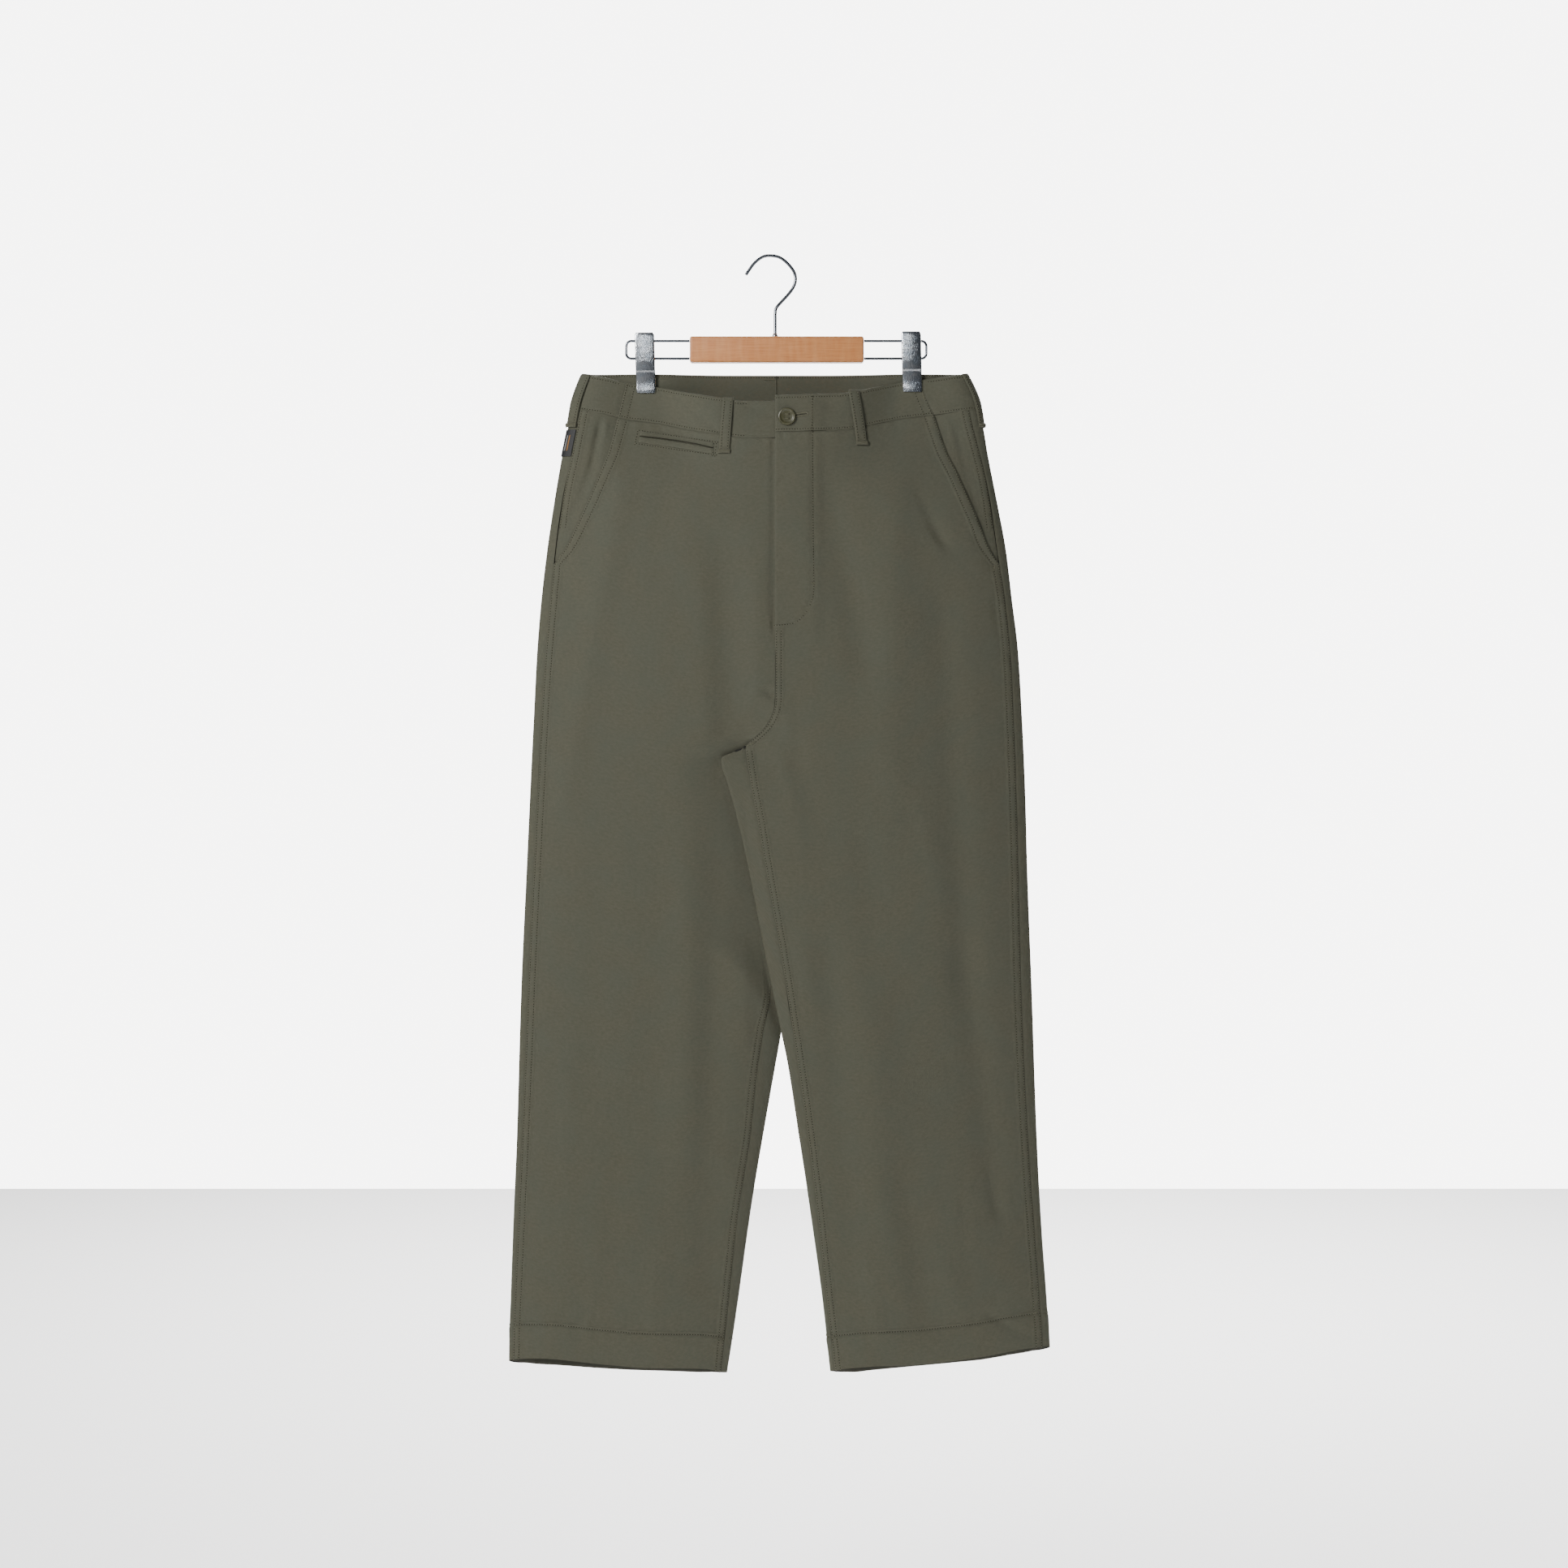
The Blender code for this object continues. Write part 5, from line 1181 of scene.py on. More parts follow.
# %% Stitch tree
def new_tree(name, sockets):
    tree = bpy.data.node_groups.new(name, "GeometryNodeTree")
    tree.interface.new_socket("Geometry", in_out="INPUT", socket_type="NodeSocketGeometry")
    for label, kind, value in sockets:
        socket = tree.interface.new_socket(label, in_out="INPUT", socket_type=kind)
        if value is not None:
            socket.default_value = value
    tree.interface.new_socket("Geometry", in_out="OUTPUT", socket_type="NodeSocketGeometry")
    return tree, add_node(tree, "NodeGroupInput").outputs


def end_tree(tree, geometry, material):
    """Real geometry with its material."""
    real = add_node(tree, "GeometryNodeRealizeInstances", {"Geometry": geometry}).outputs[0]
    done = add_node(tree, "GeometryNodeSetMaterial", {"Geometry": real, "Material": material}).outputs[0]
    add_node(tree, "NodeGroupOutput", {"Geometry": done})


FLOAT = "NodeSocketFloat"
STITCHES, given = new_tree("topstitching", (
    ("Pitch", FLOAT, 2.6 * MM), ("Length", FLOAT, 1.9 * MM), ("Width", FLOAT, 0.5 * MM), ("Turn", FLOAT, 0.0),
    ("Seed", "NodeSocketInt", 1), ("Holes", "NodeSocketBool", False), ("Material", "NodeSocketMaterial", None),
    ("Hole Shade Material", "NodeSocketMaterial", None)))
line = add_node(STITCHES, "GeometryNodeMeshToCurve", {"Mesh": given["Geometry"]}).outputs[0]
spaced = add_node(STITCHES, "GeometryNodeResampleCurve", {"Curve": line, "Length": given["Pitch"]},
                  mode="LENGTH").outputs[0]
facing = add_node(STITCHES, "GeometryNodeInputNamedAttribute", {"Name": "facing"},
                  data_type="FLOAT_VECTOR").outputs[0]
tangent = add_node(STITCHES, "GeometryNodeInputTangent").outputs[0]
upright = add_node(STITCHES, "FunctionNodeAlignRotationToVector", {"Vector": facing}, axis="Z").outputs[0]
laid = add_node(STITCHES, "FunctionNodeAlignRotationToVector", {"Rotation": upright, "Vector": tangent},
                axis="X", pivot_axis="Z").outputs[0]
turn = add_node(STITCHES, "FunctionNodeAxisAngleToRotation", {"Axis": (0, 0, 1), "Angle": given["Turn"]}).outputs[0]
turned = add_node(STITCHES, "FunctionNodeRotateRotation", {"Rotation": laid, "Rotate By": turn},
                  rotation_space="LOCAL").outputs[0]
ball = add_node(STITCHES, "GeometryNodeMeshUVSphere", {"Segments": 6, "Rings": 4, "Radius": 0.5}).outputs[0]
# Painted shade: a flat near-black oval under each stitch, for the shade in its needle holes.
shade_pit = add_node(STITCHES, "GeometryNodeMeshUVSphere", {"Segments": 6, "Rings": 3, "Radius": 0.5}).outputs[0]
aside = add_node(STITCHES, "ShaderNodeMath", {0: given["Pitch"], 1: 0.5}, operation="MULTIPLY").outputs[0]
aside = add_node(STITCHES, "ShaderNodeCombineXYZ", {0: aside, 2: -0.02 * MM}).outputs[0]
shade_pit = add_node(STITCHES, "GeometryNodeTransform", {
    "Geometry": shade_pit, "Translation": aside, "Scale": (1.3 * MM, 1.0 * MM, 0.36 * MM)}).outputs[0]
shade_pit = add_node(STITCHES, "GeometryNodeStoreNamedAttribute", {
    "Geometry": shade_pit, "Name": "needle_hole_shade", "Value": True}, data_type="BOOLEAN").outputs[0]
uneven_size = add_node(STITCHES, "FunctionNodeRandomValue", {
    2: 0.85, 3: 1.12, "Seed": given["Seed"]}).outputs[1]
long = add_node(STITCHES, "ShaderNodeMath", {0: given["Length"], 1: uneven_size},
                operation="MULTIPLY").outputs[0]
size = add_node(STITCHES, "ShaderNodeCombineXYZ", {0: long, 1: given["Width"], 2: given["Width"]}).outputs[0]
sown = add_node(STITCHES, "GeometryNodeInstanceOnPoints", {
    "Points": spaced, "Instance": ball, "Rotation": turned, "Scale": size}).outputs[0]
pits = add_node(STITCHES, "GeometryNodeInstanceOnPoints", {
    "Points": spaced, "Instance": shade_pit, "Rotation": laid, "Selection": given["Holes"]}).outputs[0]
both = add_node(STITCHES, "GeometryNodeJoinGeometry", {"Geometry": sown})
STITCHES.links.new(pits, both.inputs["Geometry"])
real = add_node(STITCHES, "GeometryNodeRealizeInstances", {"Geometry": both.outputs[0]}).outputs[0]
real = add_node(STITCHES, "GeometryNodeSetMaterial", {
    "Geometry": real, "Material": given["Material"]}).outputs[0]
is_shade_pit = add_node(STITCHES, "GeometryNodeInputNamedAttribute", {"Name": "needle_hole_shade"},
                  data_type="BOOLEAN").outputs[0]
real = add_node(STITCHES, "GeometryNodeSetMaterial", {
    "Geometry": real, "Selection": is_shade_pit, "Material": given["Hole Shade Material"]}).outputs[0]
add_node(STITCHES, "NodeGroupOutput", {"Geometry": real})


def grown(name, mesh, tree, values):
    """A mesh put through a node tree and made plain again."""
    source = in_scene(name + "_lines", mesh)
    modifier = source.modifiers.new("grow", "NODES")
    modifier.node_group = tree
    for item in tree.interface.items_tree:
        if item.in_out == "INPUT" and item.name in values:
            modifier[item.identifier] = values[item.name]
    ready = source.evaluated_get(bpy.context.evaluated_depsgraph_get())
    made = bpy.data.objects.new(name, bpy.data.meshes.new_from_object(ready))
    made.data.name = name
    source.modifiers.clear()
    bpy.data.objects.remove(source)
    bpy.context.scene.collection.objects.link(made)
    made.data.shade_smooth()
    return made


def sew(name, lines, seed, lift=0.08, material=None, **values):
    """Stitches along some lines, each a pair of points and facings."""
    points, edges, ways = [], [], []
    for place, facing in lines:
        first = sum(len(p) for p in points)
        points.append(place + facing * lift)
        ways.append(facing)
        edges += [(first + i, first + i + 1) for i in range(len(place) - 1)]
    mesh = bpy.data.meshes.new(name)
    mesh.from_pydata((np.vstack(points) * MM).tolist(), edges, [])
    facings = mesh.attributes.new("facing", "FLOAT_VECTOR", "POINT")
    facings.data.foreach_set("vector", np.vstack(ways).astype(np.float32).ravel())
    inputs = {"Seed": seed, "Material": material or THREAD, "Hole Shade Material": NEEDLE_SHADE}
    inputs |= {key.capitalize(): value for key, value in values.items()}
    made = grown(name, mesh, STITCHES, inputs)
    dress(made, "cloth")
    print(f"{name}: {len(made.data.polygons)} faces")
    return made


# %% Rows along seams
def split_rows(picked):
    """Rows of six numbers as points and unit facings."""
    picked = np.array(picked)
    return picked[:, :3], picked[:, 3:] / np.linalg.norm(picked[:, 3:], axis=1, keepdims=True)


def row_line(name, offset, end=False, first=None, last=None, skin=0):
    """Points and facings at one distance from a piece's left or right edge, from one height to another."""
    grid, normals = SKINS[name][2 if skin else 0], SKINS[name][1] * (-1 if skin else 1)
    gap = row_gaps(SKINS[name][0])[1 if end else 0]
    picked = []
    for r in range(len(grid)):
        want = float(offset(-grid[r, 0, 2])) if callable(offset) else offset
        down = -np.interp(want, gap[r][::-1] if end else gap[r], grid[r, :, 2][::-1] if end else grid[r, :, 2])
        if (first is None or down >= first) and (last is None or down <= last):
            row = np.concatenate([grid[r], normals[r]], axis=1)
            at, values = (gap[r][::-1], row[::-1]) if end else (gap[r], row)
            picked.append([np.interp(want, at, values[:, k]) for k in range(6)])
    return split_rows(picked)


def column_line(name, offset, end=False, skin=0, first=0, spare=0):
    """Points and facings at one distance from a piece's top or low edge, but for its last columns."""
    grid, normals = SKINS[name][2 if skin else 0], SKINS[name][1] * (-1 if skin else 1)
    gap = column_gaps(SKINS[name][0])[1 if end else 0]
    picked = []
    for c in range(first, grid.shape[1] - spare):
        column = np.concatenate([grid[:, c], normals[:, c]], axis=1)
        at, values = (gap[::-1, c], column[::-1]) if end else (gap[:, c], column)
        picked.append([np.interp(offset, at, values[:, k]) for k in range(6)])
    return split_rows(picked)


def outside_tree(*names):
    """The outer faces of some pieces, to lay lines on."""
    points, faces = [], []
    for name in names:
        first = len(points)
        grid = SKINS[name][0]
        points += grid.reshape(-1, 3).tolist()
        faces += grid_faces(number(grid) + first)
    return BVHTree.FromPolygons(points, faces)


FRONT_FACES = outside_tree("front_left", "front_right", "waistband_front_left", "waistband_front_right",
                           "pocket_facing_left", "pocket_facing_right", "welt_upper", "welt_lower",
                           "belt_loop_front_left", "belt_loop_front_right")


def on_front(line):
    """A line of x and down laid on the front, as points and facings."""
    line = np.array(line, float)
    total = lengths_of(line)[-1]
    line = spread(line, np.linspace(0, total, max(2, int(total / 1.2))))
    places, facings = [], []
    way = Vector((0, 1, 0))
    for x, down in line:
        hit, normal, _, _ = FRONT_FACES.ray_cast(Vector((x, -200, -down)), way)
        if hit is not None:
            places.append(hit)
            facings.append(-normal if normal.dot(way) > 0 else normal)
    return np.array(places), np.array(facings)


rows = []
for side in ("left", "right"):
    panel, facing_piece, away = "front_" + side, "pocket_facing_" + side, side == "right"
    for offset in (FIRST_ROW, second_row):
        rows.append(row_line(panel, offset, away))
    for offset in (FIRST_ROW, SIDE_ROW):
        rows.append(row_line(facing_piece, offset, away, last=268))
    for offset in (FIRST_ROW, BAND_ROW):
        rows.append(row_line("waistband_front_" + side, offset, away))
    rows += [column_line("waistband_front_" + side, EDGE_ROW, spare=22 if side == "left" else 0),
             column_line("waistband_front_" + side, EDGE_ROW, True, spare=22 if side == "left" else 0),
             column_line(panel, HEM_ROW, True)]
for offset in (FIRST_ROW, RISE_ROW):
    rows.append(row_line("front_right", offset, first=FLY_END + 4, last=FORK - 4))
    rows.append(row_line("front_right", offset, first=FORK + 3))
    rows.append(row_line("front_left", offset, True, first=724))
rows.append(on_front(FLY_STITCH))
rows.append(on_front([(40.2, 134.6), (39.2, 172)]))
sew("stitches_front", rows, 3, holes=True)

rows = []
for side in ("left", "right"):
    rows += [column_line("back_" + side, HEM_ROW, True, first=6, spare=10),
             column_line("waistband_back_" + side, EDGE_ROW, first=2),
             column_line("waistband_back_" + side, EDGE_ROW, True, first=2),
             column_line("waistband_back_" + side, 1.6, skin=1, first=24)]
for offset in (FIRST_ROW, RISE_ROW):
    rows.append(row_line("back_right", offset, True, last=FORK_TOP - 6))
sew("stitches_back", rows, 4, holes=True)


# %% Loops, welts, bartacks and buttonhole
LOOPS = [name for name in SKINS if name.startswith("belt_loop")]
rows = []
for name in LOOPS:
    for end in (False, True):
        points, facings = row_line(name, 2.1, end)
        rows.append((points[3:-7], facings[3:-7]))
for line in ([(-131.3, 171.0), (-54.2, 184.0)], [(-134.2, 184.4), (-55.4, 196.6)],
             [(-131.6, 171.2), (-134.4, 184.2)], [(-56.6, 184.4), (-58.0, 196.0)],
             [(-54.2, 184.2), (-55.6, 196.4)]):
    rows.append(on_front(line))
sew("stitches_small_parts", rows, 5, holes=True)
# Painted shade: a near-black strip in the slit between the welts, where the pocket opening falls into shade.
slit = on_front([(-129.6, 177.4), (-112, 178.9), (-93, 181.6), (-74, 185.2), (-57.6, 189.6)])
sew("welt_slit_shade", [slit], 10, lift=0.9, material=NEEDLE_SHADE,
    pitch=0.4 * MM, length=1.1 * MM, width=0.9 * MM)

tacks = []
for name in LOOPS:
    grid, normals = SKINS[name][:2]
    tacks.append((grid[-4, 1:-1], normals[-4, 1:-1]))
for line in ([(219.2, 304.5), (217.8, 309.5)], [(-207.6, 294.5), (-209.4, 300)], [(148.5, 133), (150.4, 140)],
             [(38.5, 322.4), (42.5, 322.6)], [(-1.2, 433), (3.4, 432)], [(-25.5, 482), (-16.5, 478.5)]):
    tacks.append(on_front(line))
for x0, x1 in ((-111.5, -101.5), (-10.2, 3.2), (112, 122)):
    name = "waistband_back_left" if x0 < 0 else "waistband_back_right"
    grid, normals = SKINS[name][2], -SKINS[name][1]
    columns = [c for c in range(28, grid.shape[1]) if x0 <= grid[5, c, 0] <= x1]
    if len(columns) > 1:
        tacks.append((grid[6, columns], normals[6, columns]))
sew("bartacks", tacks, 6, pitch=0.55 * MM, length=2.0 * MM, width=0.5 * MM, turn=math.pi / 2, lift=0.12)

eye_start, eye_end = np.array((23.2, 158.2)), np.array((34.4, 156.5))
way = (eye_end - eye_start) / math.hypot(*(eye_end - eye_start))
across = 1.3 * np.array([way[1], -way[0]])
edge = [eye_start + across, eye_end + across, eye_end + way * 1.5, eye_end - across, eye_start - across]
sew("buttonhole_stitches", [on_front(edge)], 7, lift=0.1, turn=math.pi / 2,
    pitch=0.5 * MM, length=2.1 * MM, width=0.55 * MM)
# Painted shade: near-black stitches along the buttonhole's slit, where its opening falls into shade.
sew("buttonhole_slit_shade", [on_front([eye_start, eye_end])], 8, lift=0.02, material=NEEDLE_SHADE,
    pitch=0.5 * MM, length=0.9 * MM, width=0.5 * MM)

# %% [markdown]
# ## Button
#
# A lathe-turned rim and dish with four holes, and two strands of thread between them.

# %% Button and its thread
BUTTON_X, BUTTON_DOWN, BUTTON_RADIUS, BUTTON_THICK, HOLE_OFFSET = 14.9, 159.5, 8.7, 2.8, 2.1
STEPS = 72
hit, _ = on_front([(BUTTON_X, BUTTON_DOWN), (15.0, 159.6)])
back = float(hit[0, 1]) - 0.35  # just in front of the waistband
OUTLINE = (  # how far inside the rim, and how far in front of the back face
    (BUTTON_RADIUS, 0), (1.2, 0), (0.3, 0.4), (0, 1.2), (0.12, 1.9), (0.5, BUTTON_THICK - 0.25),
    (1.0, BUTTON_THICK - 0.04), (1.5, BUTTON_THICK), (2.0, BUTTON_THICK - 0.12), (2.4, BUTTON_THICK - 0.45),
    (2.8, BUTTON_THICK - 0.8), (3.4, BUTTON_THICK - 0.95), (BUTTON_RADIUS, BUTTON_THICK - 0.9))
bm = bmesh.new()
rings = []
for inset, out in OUTLINE:
    r = BUTTON_RADIUS - inset
    turns = [2 * math.pi * i / STEPS for i in range(STEPS if r else 1)]
    rings.append([bm.verts.new(((BUTTON_X + r * math.cos(a)) * MM, (back - out) * MM,
                                (r * math.sin(a) - BUTTON_DOWN) * MM)) for a in turns])
for low, high in zip(rings, rings[1:]):
    for i in range(STEPS):
        j = (i + 1) % STEPS
        corners = (low[i % len(low)], low[j % len(low)], high[j % len(high)], high[i % len(high)])
        bm.faces.new(list(dict.fromkeys(corners)))
bmesh.ops.recalc_face_normals(bm, faces=bm.faces)
blank = in_scene("button_blank", mesh_of("button_blank", bm))
bm = bmesh.new()
for right in (-HOLE_OFFSET, HOLE_OFFSET):
    for up in (-HOLE_OFFSET, HOLE_OFFSET):
        found = bmesh.ops.create_cone(bm, cap_ends=True, segments=20, radius1=0.95 * MM,
                                      radius2=0.95 * MM, depth=12 * MM)
        for v in found["verts"]:
            x, y, z = v.co
            v.co = ((BUTTON_X + right) * MM + x, back * MM - z, (up - BUTTON_DOWN) * MM + y)
bmesh.ops.recalc_face_normals(bm, faces=bm.faces)
cutter = in_scene("button_holes", mesh_of("button_holes", bm))
holes = blank.modifiers.new("holes", "BOOLEAN")
holes.operation, holes.object, holes.solver = "DIFFERENCE", cutter, "EXACT"
mesh = bpy.data.meshes.new_from_object(blank.evaluated_get(bpy.context.evaluated_depsgraph_get()))
mesh.name = "four_hole_button"
for old in (blank, cutter):
    bpy.data.objects.remove(old)
four_hole = in_scene("four_hole_button", mesh)
mesh.materials.clear()
mesh.materials.append(RESIN)
mesh.shade_smooth()
mesh.set_sharp_from_angle(angle=math.radians(35))
dress(four_hole, "button", "button")

strands = []
aside = np.linspace(-2.5, 2.5, 9)
rise = 0.35 - 1.0 * (np.abs(aside) / 2.5) ** 4
outwards = np.tile([0.0, -1.0, 0.0], (9, 1))
for up in (-HOLE_OFFSET, HOLE_OFFSET):
    for shift in (-0.45, 0.0, 0.45):
        strand = np.stack([BUTTON_X + aside, back - BUTTON_THICK + 0.9 - rise,
                           up + shift - BUTTON_DOWN + 0 * aside], axis=1)
        strands.append((strand, outwards))
sew("button_thread", strands, 9, lift=0.0, material=BUTTON_THREAD,
    pitch=0.8 * MM, length=1.7 * MM, width=0.5 * MM)

# %% [markdown]
# ## Hanger
#
# A wooden bar, drawn wire bent into the hook and two loops, and two sprung clips of pressed sheet.

# %% Wire tree
WIRES, given = new_tree("bent_wire", (("Radius", FLOAT, 1.25 * MM), ("Material", "NodeSocketMaterial", None)))
line = add_node(WIRES, "GeometryNodeMeshToCurve", {"Mesh": given["Geometry"]}).outputs[0]
section = add_node(WIRES, "GeometryNodeCurvePrimitiveCircle", {
    "Resolution": 16, "Radius": given["Radius"]}).outputs[0]
tube = add_node(WIRES, "GeometryNodeCurveToMesh", {
    "Curve": line, "Profile Curve": section, "Fill Caps": True}).outputs[0]
end_tree(WIRES, tube, given["Material"])


def bent_wire(name, points, diameter, slot, *nodes):
    mesh = bpy.data.meshes.new(name)
    mesh.from_pydata((np.asarray(points) * MM).tolist(), [(i, i + 1) for i in range(len(points) - 1)], [])
    made = grown(name, mesh, WIRES, {"Radius": diameter / 2 * MM, "Material": WIRE})
    made.data.set_sharp_from_angle(angle=math.radians(50))
    dress(made, slot, *nodes)
    return made


def smooth_line(points, spacing):
    """Evenly spaced points of a smooth curve through some points."""
    points = np.array(points, float)
    ends = np.vstack([2 * points[0] - points[1], points, 2 * points[-1] - points[-2]])
    tangents = (ends[2:] - ends[:-2]) / 2
    fine = []
    for i in range(len(points) - 1):
        for s in np.linspace(0, 1, 24, endpoint=False):
            fine.append((1 + 2 * s) * (1 - s) ** 2 * points[i] + s * (1 - s) ** 2 * tangents[i]
                        + s * s * (3 - 2 * s) * points[i + 1] + s * s * (s - 1) * tangents[i + 1])
    fine = np.array(fine + [points[-1]])
    total = lengths_of(fine)[-1]
    return spread(fine, np.linspace(0, total, round(total / spacing) + 1))


# %% Hook, loops and bar
HOOK_WIRE, LOOP_WIRE, SPRING_WIRE, STEM_X = 3.1, 2.5, 1.3, 3.3
HOOK = ((-25.6, 17.3), (-17.2, 5.8), (-8.8, -0.4), (-0.8, -1.55), (7.6, 0.2), (14.4, 5.0), (21.2, 13.2),
        (23.4, 21.5), (21.2, 29.5), (15.9, 37.0), (4.9, 49.2), (3.4, 54.5), (STEM_X, 62.0), (STEM_X, 75.0))
bent_wire("hook_wire", smooth_line([(x, 0, -down) for x, down in HOOK], 1.2), HOOK_WIRE, "chrome", "hook")
for name, start, end in (("left", -81.0, -143.5), ("right", 90.8, 152.3)):
    way = math.copysign(1, end - start)
    points = [(start, 0, -82.6)]
    for centre, first in ((87.6, 90), (94.9, 0)):
        for step in range(9):
            angle = math.radians(first - 90 * step / 8)
            points.append((end + way * 5 * (math.cos(angle) - 1), 0, -centre + 5 * math.sin(angle)))
    points.append((start, 0, -99.9))
    bent_wire("loop_wire_" + name, points, LOOP_WIRE, "chrome", "rail_" + name)


def lathe(name, profile, material):
    """A turned piece about the stem: radius and down of its outline."""
    steps = 40
    angle = 2 * math.pi * np.arange(steps) / steps
    grid = np.array([np.stack([STEM_X + r * np.cos(angle), r * np.sin(angle), -down + 0 * angle], axis=1)
                     for r, down in profile])
    return make_mesh(name, grid.reshape(-1, 3), capped_faces(grid), material, sharp=35)


COLLAR = ((1.7, 75.2), (2.3, 75.35), (2.5, 75.8), (2.3, 76.3), (2.6, 76.7), (2.9, 77.4), (2.9, 78.1),
          (2.7, 78.35))
collar = lathe("stem_collar", COLLAR, STEEL_COLLAR)
dress(collar, "chrome", "hook_collar")

bm = bmesh.new()
bmesh.ops.create_cube(bm, size=1)
bmesh.ops.scale(bm, vec=(171.2 * MM, 14 * MM, 25.6 * MM), verts=bm.verts)
bmesh.ops.bevel(bm, geom=bm.edges[:], offset=2.2 * MM, segments=5, profile=0.5, affect="EDGES")
bmesh.ops.translate(bm, vec=(4.9 * MM, 0, -91.4 * MM), verts=bm.verts)
mesh = mesh_of("wooden_bar", bm)
mesh.materials.append(WOOD)
mesh.shade_smooth()
mesh.set_sharp_from_angle(angle=math.radians(40))
dress(in_scene("wooden_bar", mesh), "wood", "hanger_bar")
print("hanger bar, hook and loops made")

# %% Clips
# A jaw's face and its turned sides' edge in front of the cloth's middle, from its top to its lip.
JAW = table("height  face  flange", (0, 7.2, 5.9), (2, 7.4, 1.75), (29, 6.9, 1.75), (31.5, 6.7, 0.25),
            (36.5, 6.2, 0.25), (39.5, 5.4, 3.0), (50, 4.5, 3.1), (59, 4.4, 3.1))
JAW_HEIGHTS = np.array([0, 0.3, 0.9, 2, 6, 12, 18, 24, 28, 29, 30.2, 31.5, 34, 36.5, 38, 39.5, 43, 47, 51, 55,
                        57.6, 58.6, 59])
JAW_LENGTH, PIVOT = 59.0, 34.8


def jaw_outline(face, flange, narrow):
    """Plan of a bent sheet: face, two rounded bends and two turned sides."""
    half, sheet, bend = 9.6 - narrow, 1.0, 1.3
    turn = min(bend, max(face - flange, 0.05))
    outside = [(-half, flange)]
    for step in range(6):
        a = math.radians(180 - 90 * step / 5)
        outside.append((-half + bend + bend * math.cos(a), face - turn + turn * math.sin(a)))
    for step in range(6):
        a = math.radians(90 - 90 * step / 5)
        outside.append((half - bend + bend * math.cos(a), face - turn + turn * math.sin(a)))
    outside.append((half, flange))
    inner_half, inner_face = half - sheet, face - sheet
    return outside + [(inner_half, flange), (inner_half, inner_face - 0.3), (inner_half - 0.4, inner_face),
                      (0.4 - inner_half, inner_face), (-inner_half, inner_face - 0.3), (-inner_half, flange)]


def leaning_x(clip_x, height):
    """x of a clip's middle: it leans a little to the right below."""
    return clip_x + 1.6 * (height / JAW_LENGTH - 0.75)


for side, clip_x, top in (("left", CLIP_X[0], 75.2), ("right", CLIP_X[1], 74.0)):
    for name, facing_way in (("front", -1), ("back", 1)):
        levels = []
        for height in JAW_HEIGHTS:
            face, flange = float(along(JAW, "face", height)), float(along(JAW, "flange", height))
            narrow = 1.1 * (1 - float(ease(height, 0, 2))) + 0.7 * float(ease(height, 57.6, 59))
            dished = 0.35 * math.exp(-((height - 20) / 12) ** 2)
            outline = jaw_outline(face, min(flange, face - 1.1), narrow)
            x0 = leaning_x(clip_x, height)
            level = []
            for ax, ay in outline:
                sunk = dished * (1 - min(1, abs(ax) / 7) ** 2) * (ay > face - 1.2)
                level.append((x0 + ax, facing_way * (ay - sunk), -(top + height)))
            levels.append(level)
        grid = np.array(levels)
        jaw = make_mesh(f"jaw_{side}_{name}", grid.reshape(-1, 3), capped_faces(grid), PLATE, sharp=42)
        dress(jaw, "chrome", f"clip_{side}_{name}")
    middle = leaning_x(clip_x, PIVOT)
    t = np.linspace(0, 1, 9 * 20 + 1)
    turn = 18 * math.pi * t
    coil = np.stack([middle - 7.6 + 15.2 * t, 1.9 * np.cos(turn), -(top + PIVOT) + 1.9 * np.sin(turn)], axis=1)
    bent_wire("spring_" + side, coil, SPRING_WIRE, "chrome", f"clip_{side}_spring")
print("clips made")

# %% [markdown]
# ## Light, floor and camera
#
# A pale room like the shop wall, with a soft key light from the upper left.

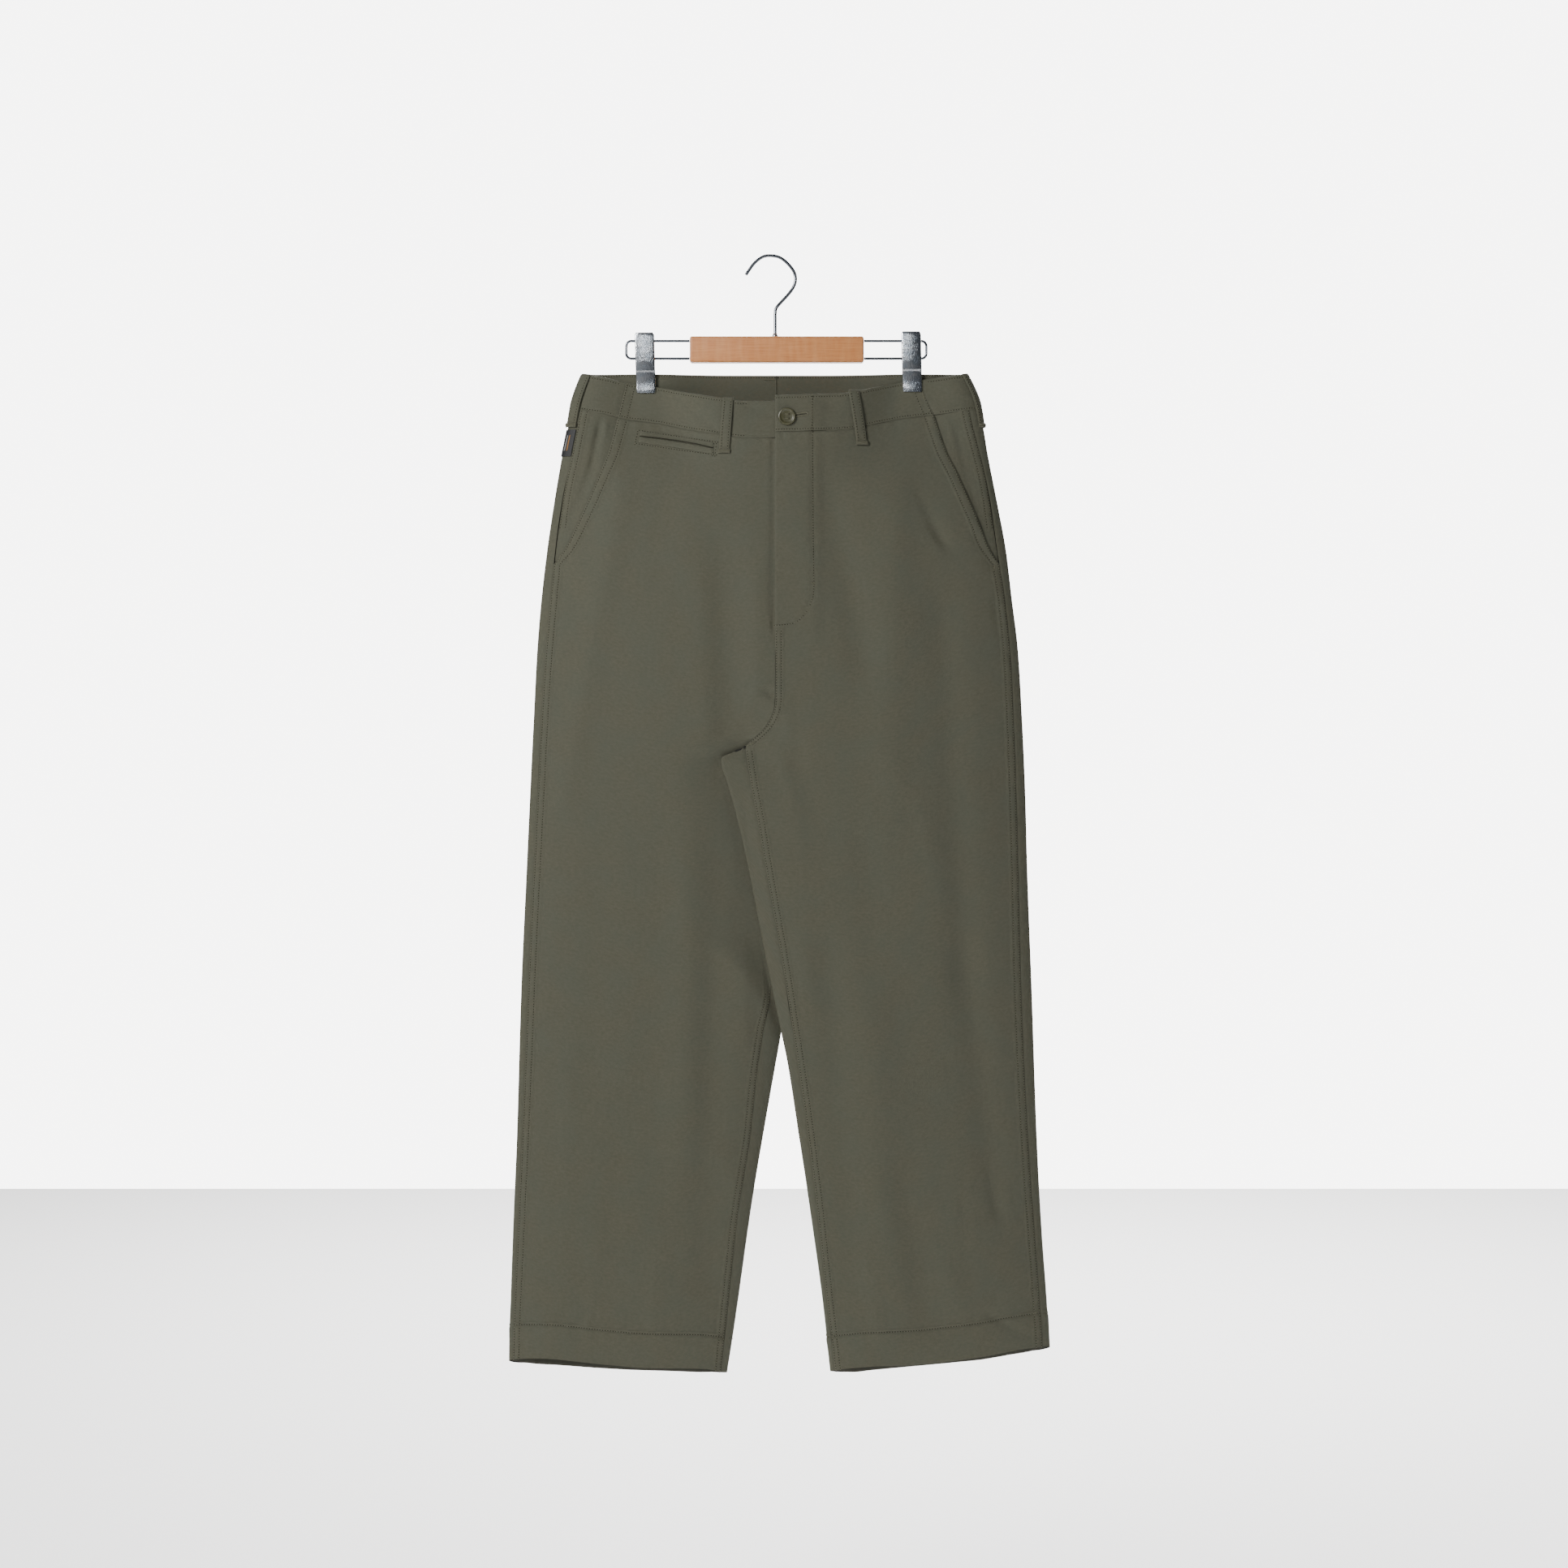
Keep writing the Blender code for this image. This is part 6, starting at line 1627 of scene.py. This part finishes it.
# %% Stage
world = bpy.data.worlds.new("pale_room")
bpy.context.scene.world = world
world.use_nodes = True
tree = world.node_tree
tree.nodes.clear()
direction = add_node(tree, "ShaderNodeTexCoord").outputs["Generated"]
parts = add_node(tree, "ShaderNodeSeparateXYZ", {"Vector": direction})
aside = spread_out(tree, parts.outputs["X"], -0.16, 0.22)
blots = noise(tree, scaled(tree, direction, (2.2, 2.2, 5.0)), 1.0, 3.0)
room = mix_colour(tree, aside, srgb("#c6c9cd"), srgb("#4c4f52"))
room = mix_colour(tree, spread_out(tree, blots, 0.42, 0.62, 0.0, 0.55), room, srgb("#3f4a58"))
toward = spread_out(tree, parts.outputs["Y"], 0.66, 0.84)
colour = mix_colour(tree, toward, room, srgb("#f3f2f1"))
strength = spread_out(tree, parts.outputs["Y"], 0.66, 0.84, 0.4, 7.5)
backdrop = add_node(tree, "ShaderNodeBackground", {"Color": colour, "Strength": strength})
out = add_node(tree, "ShaderNodeOutputWorld")
tree.links.new(backdrop.outputs[0], out.inputs["Surface"])

mesh = bpy.data.meshes.new("pale_floor")
mesh.from_pydata([(-4, -4, -1.45), (4, -4, -1.45), (4, 4, -1.45), (-4, 4, -1.45)], [], [(0, 1, 2, 3)])
mesh.materials.append(plain("painted_floor", "#f4f3f2", 0.7))
floor = in_scene("pale_floor", mesh)


def area_light(name, place, aim, size, power, colour, tall=None):
    """A soft square or upright light, in metres and watts, turned towards a point."""
    data = bpy.data.lights.new(name, "AREA")
    data.shape, data.size, data.size_y = "RECTANGLE", size, tall or size
    data.energy, data.color = power, colour
    made = in_scene(name, data)
    made.location = place
    made.rotation_euler = (Vector(aim) - Vector(place)).to_track_quat("-Z", "Y").to_euler()


area_light("key", (-1.15, -1.5, 0.45), (0, 0, -0.45), 0.7, 42, (1.0, 0.99, 0.97))
area_light("overhead", (0.5, 2.5, 1.5), (0.5, 2.5, -1.4), 3.0, 420, (1.0, 1.0, 1.0))
area_light("window", (-0.34, -4.2, 0.62), (0, 0, -0.1), 0.44, 3.4, (0.93, 0.97, 1.0), 0.7)
area_light("rear", (1.2, 2.2, 0.6), (0, 0, -0.5), 1.2, 16, (1.0, 0.99, 0.97))

camera = in_scene("camera", bpy.data.cameras.new("camera"))
camera.location = (0.012, -3.0, -0.5192)
camera.rotation_euler = (math.pi / 2, 0, 0)
camera.data.lens = 69.876
camera.data.sensor_width = 36
bpy.context.scene.camera = camera
print("stage set")
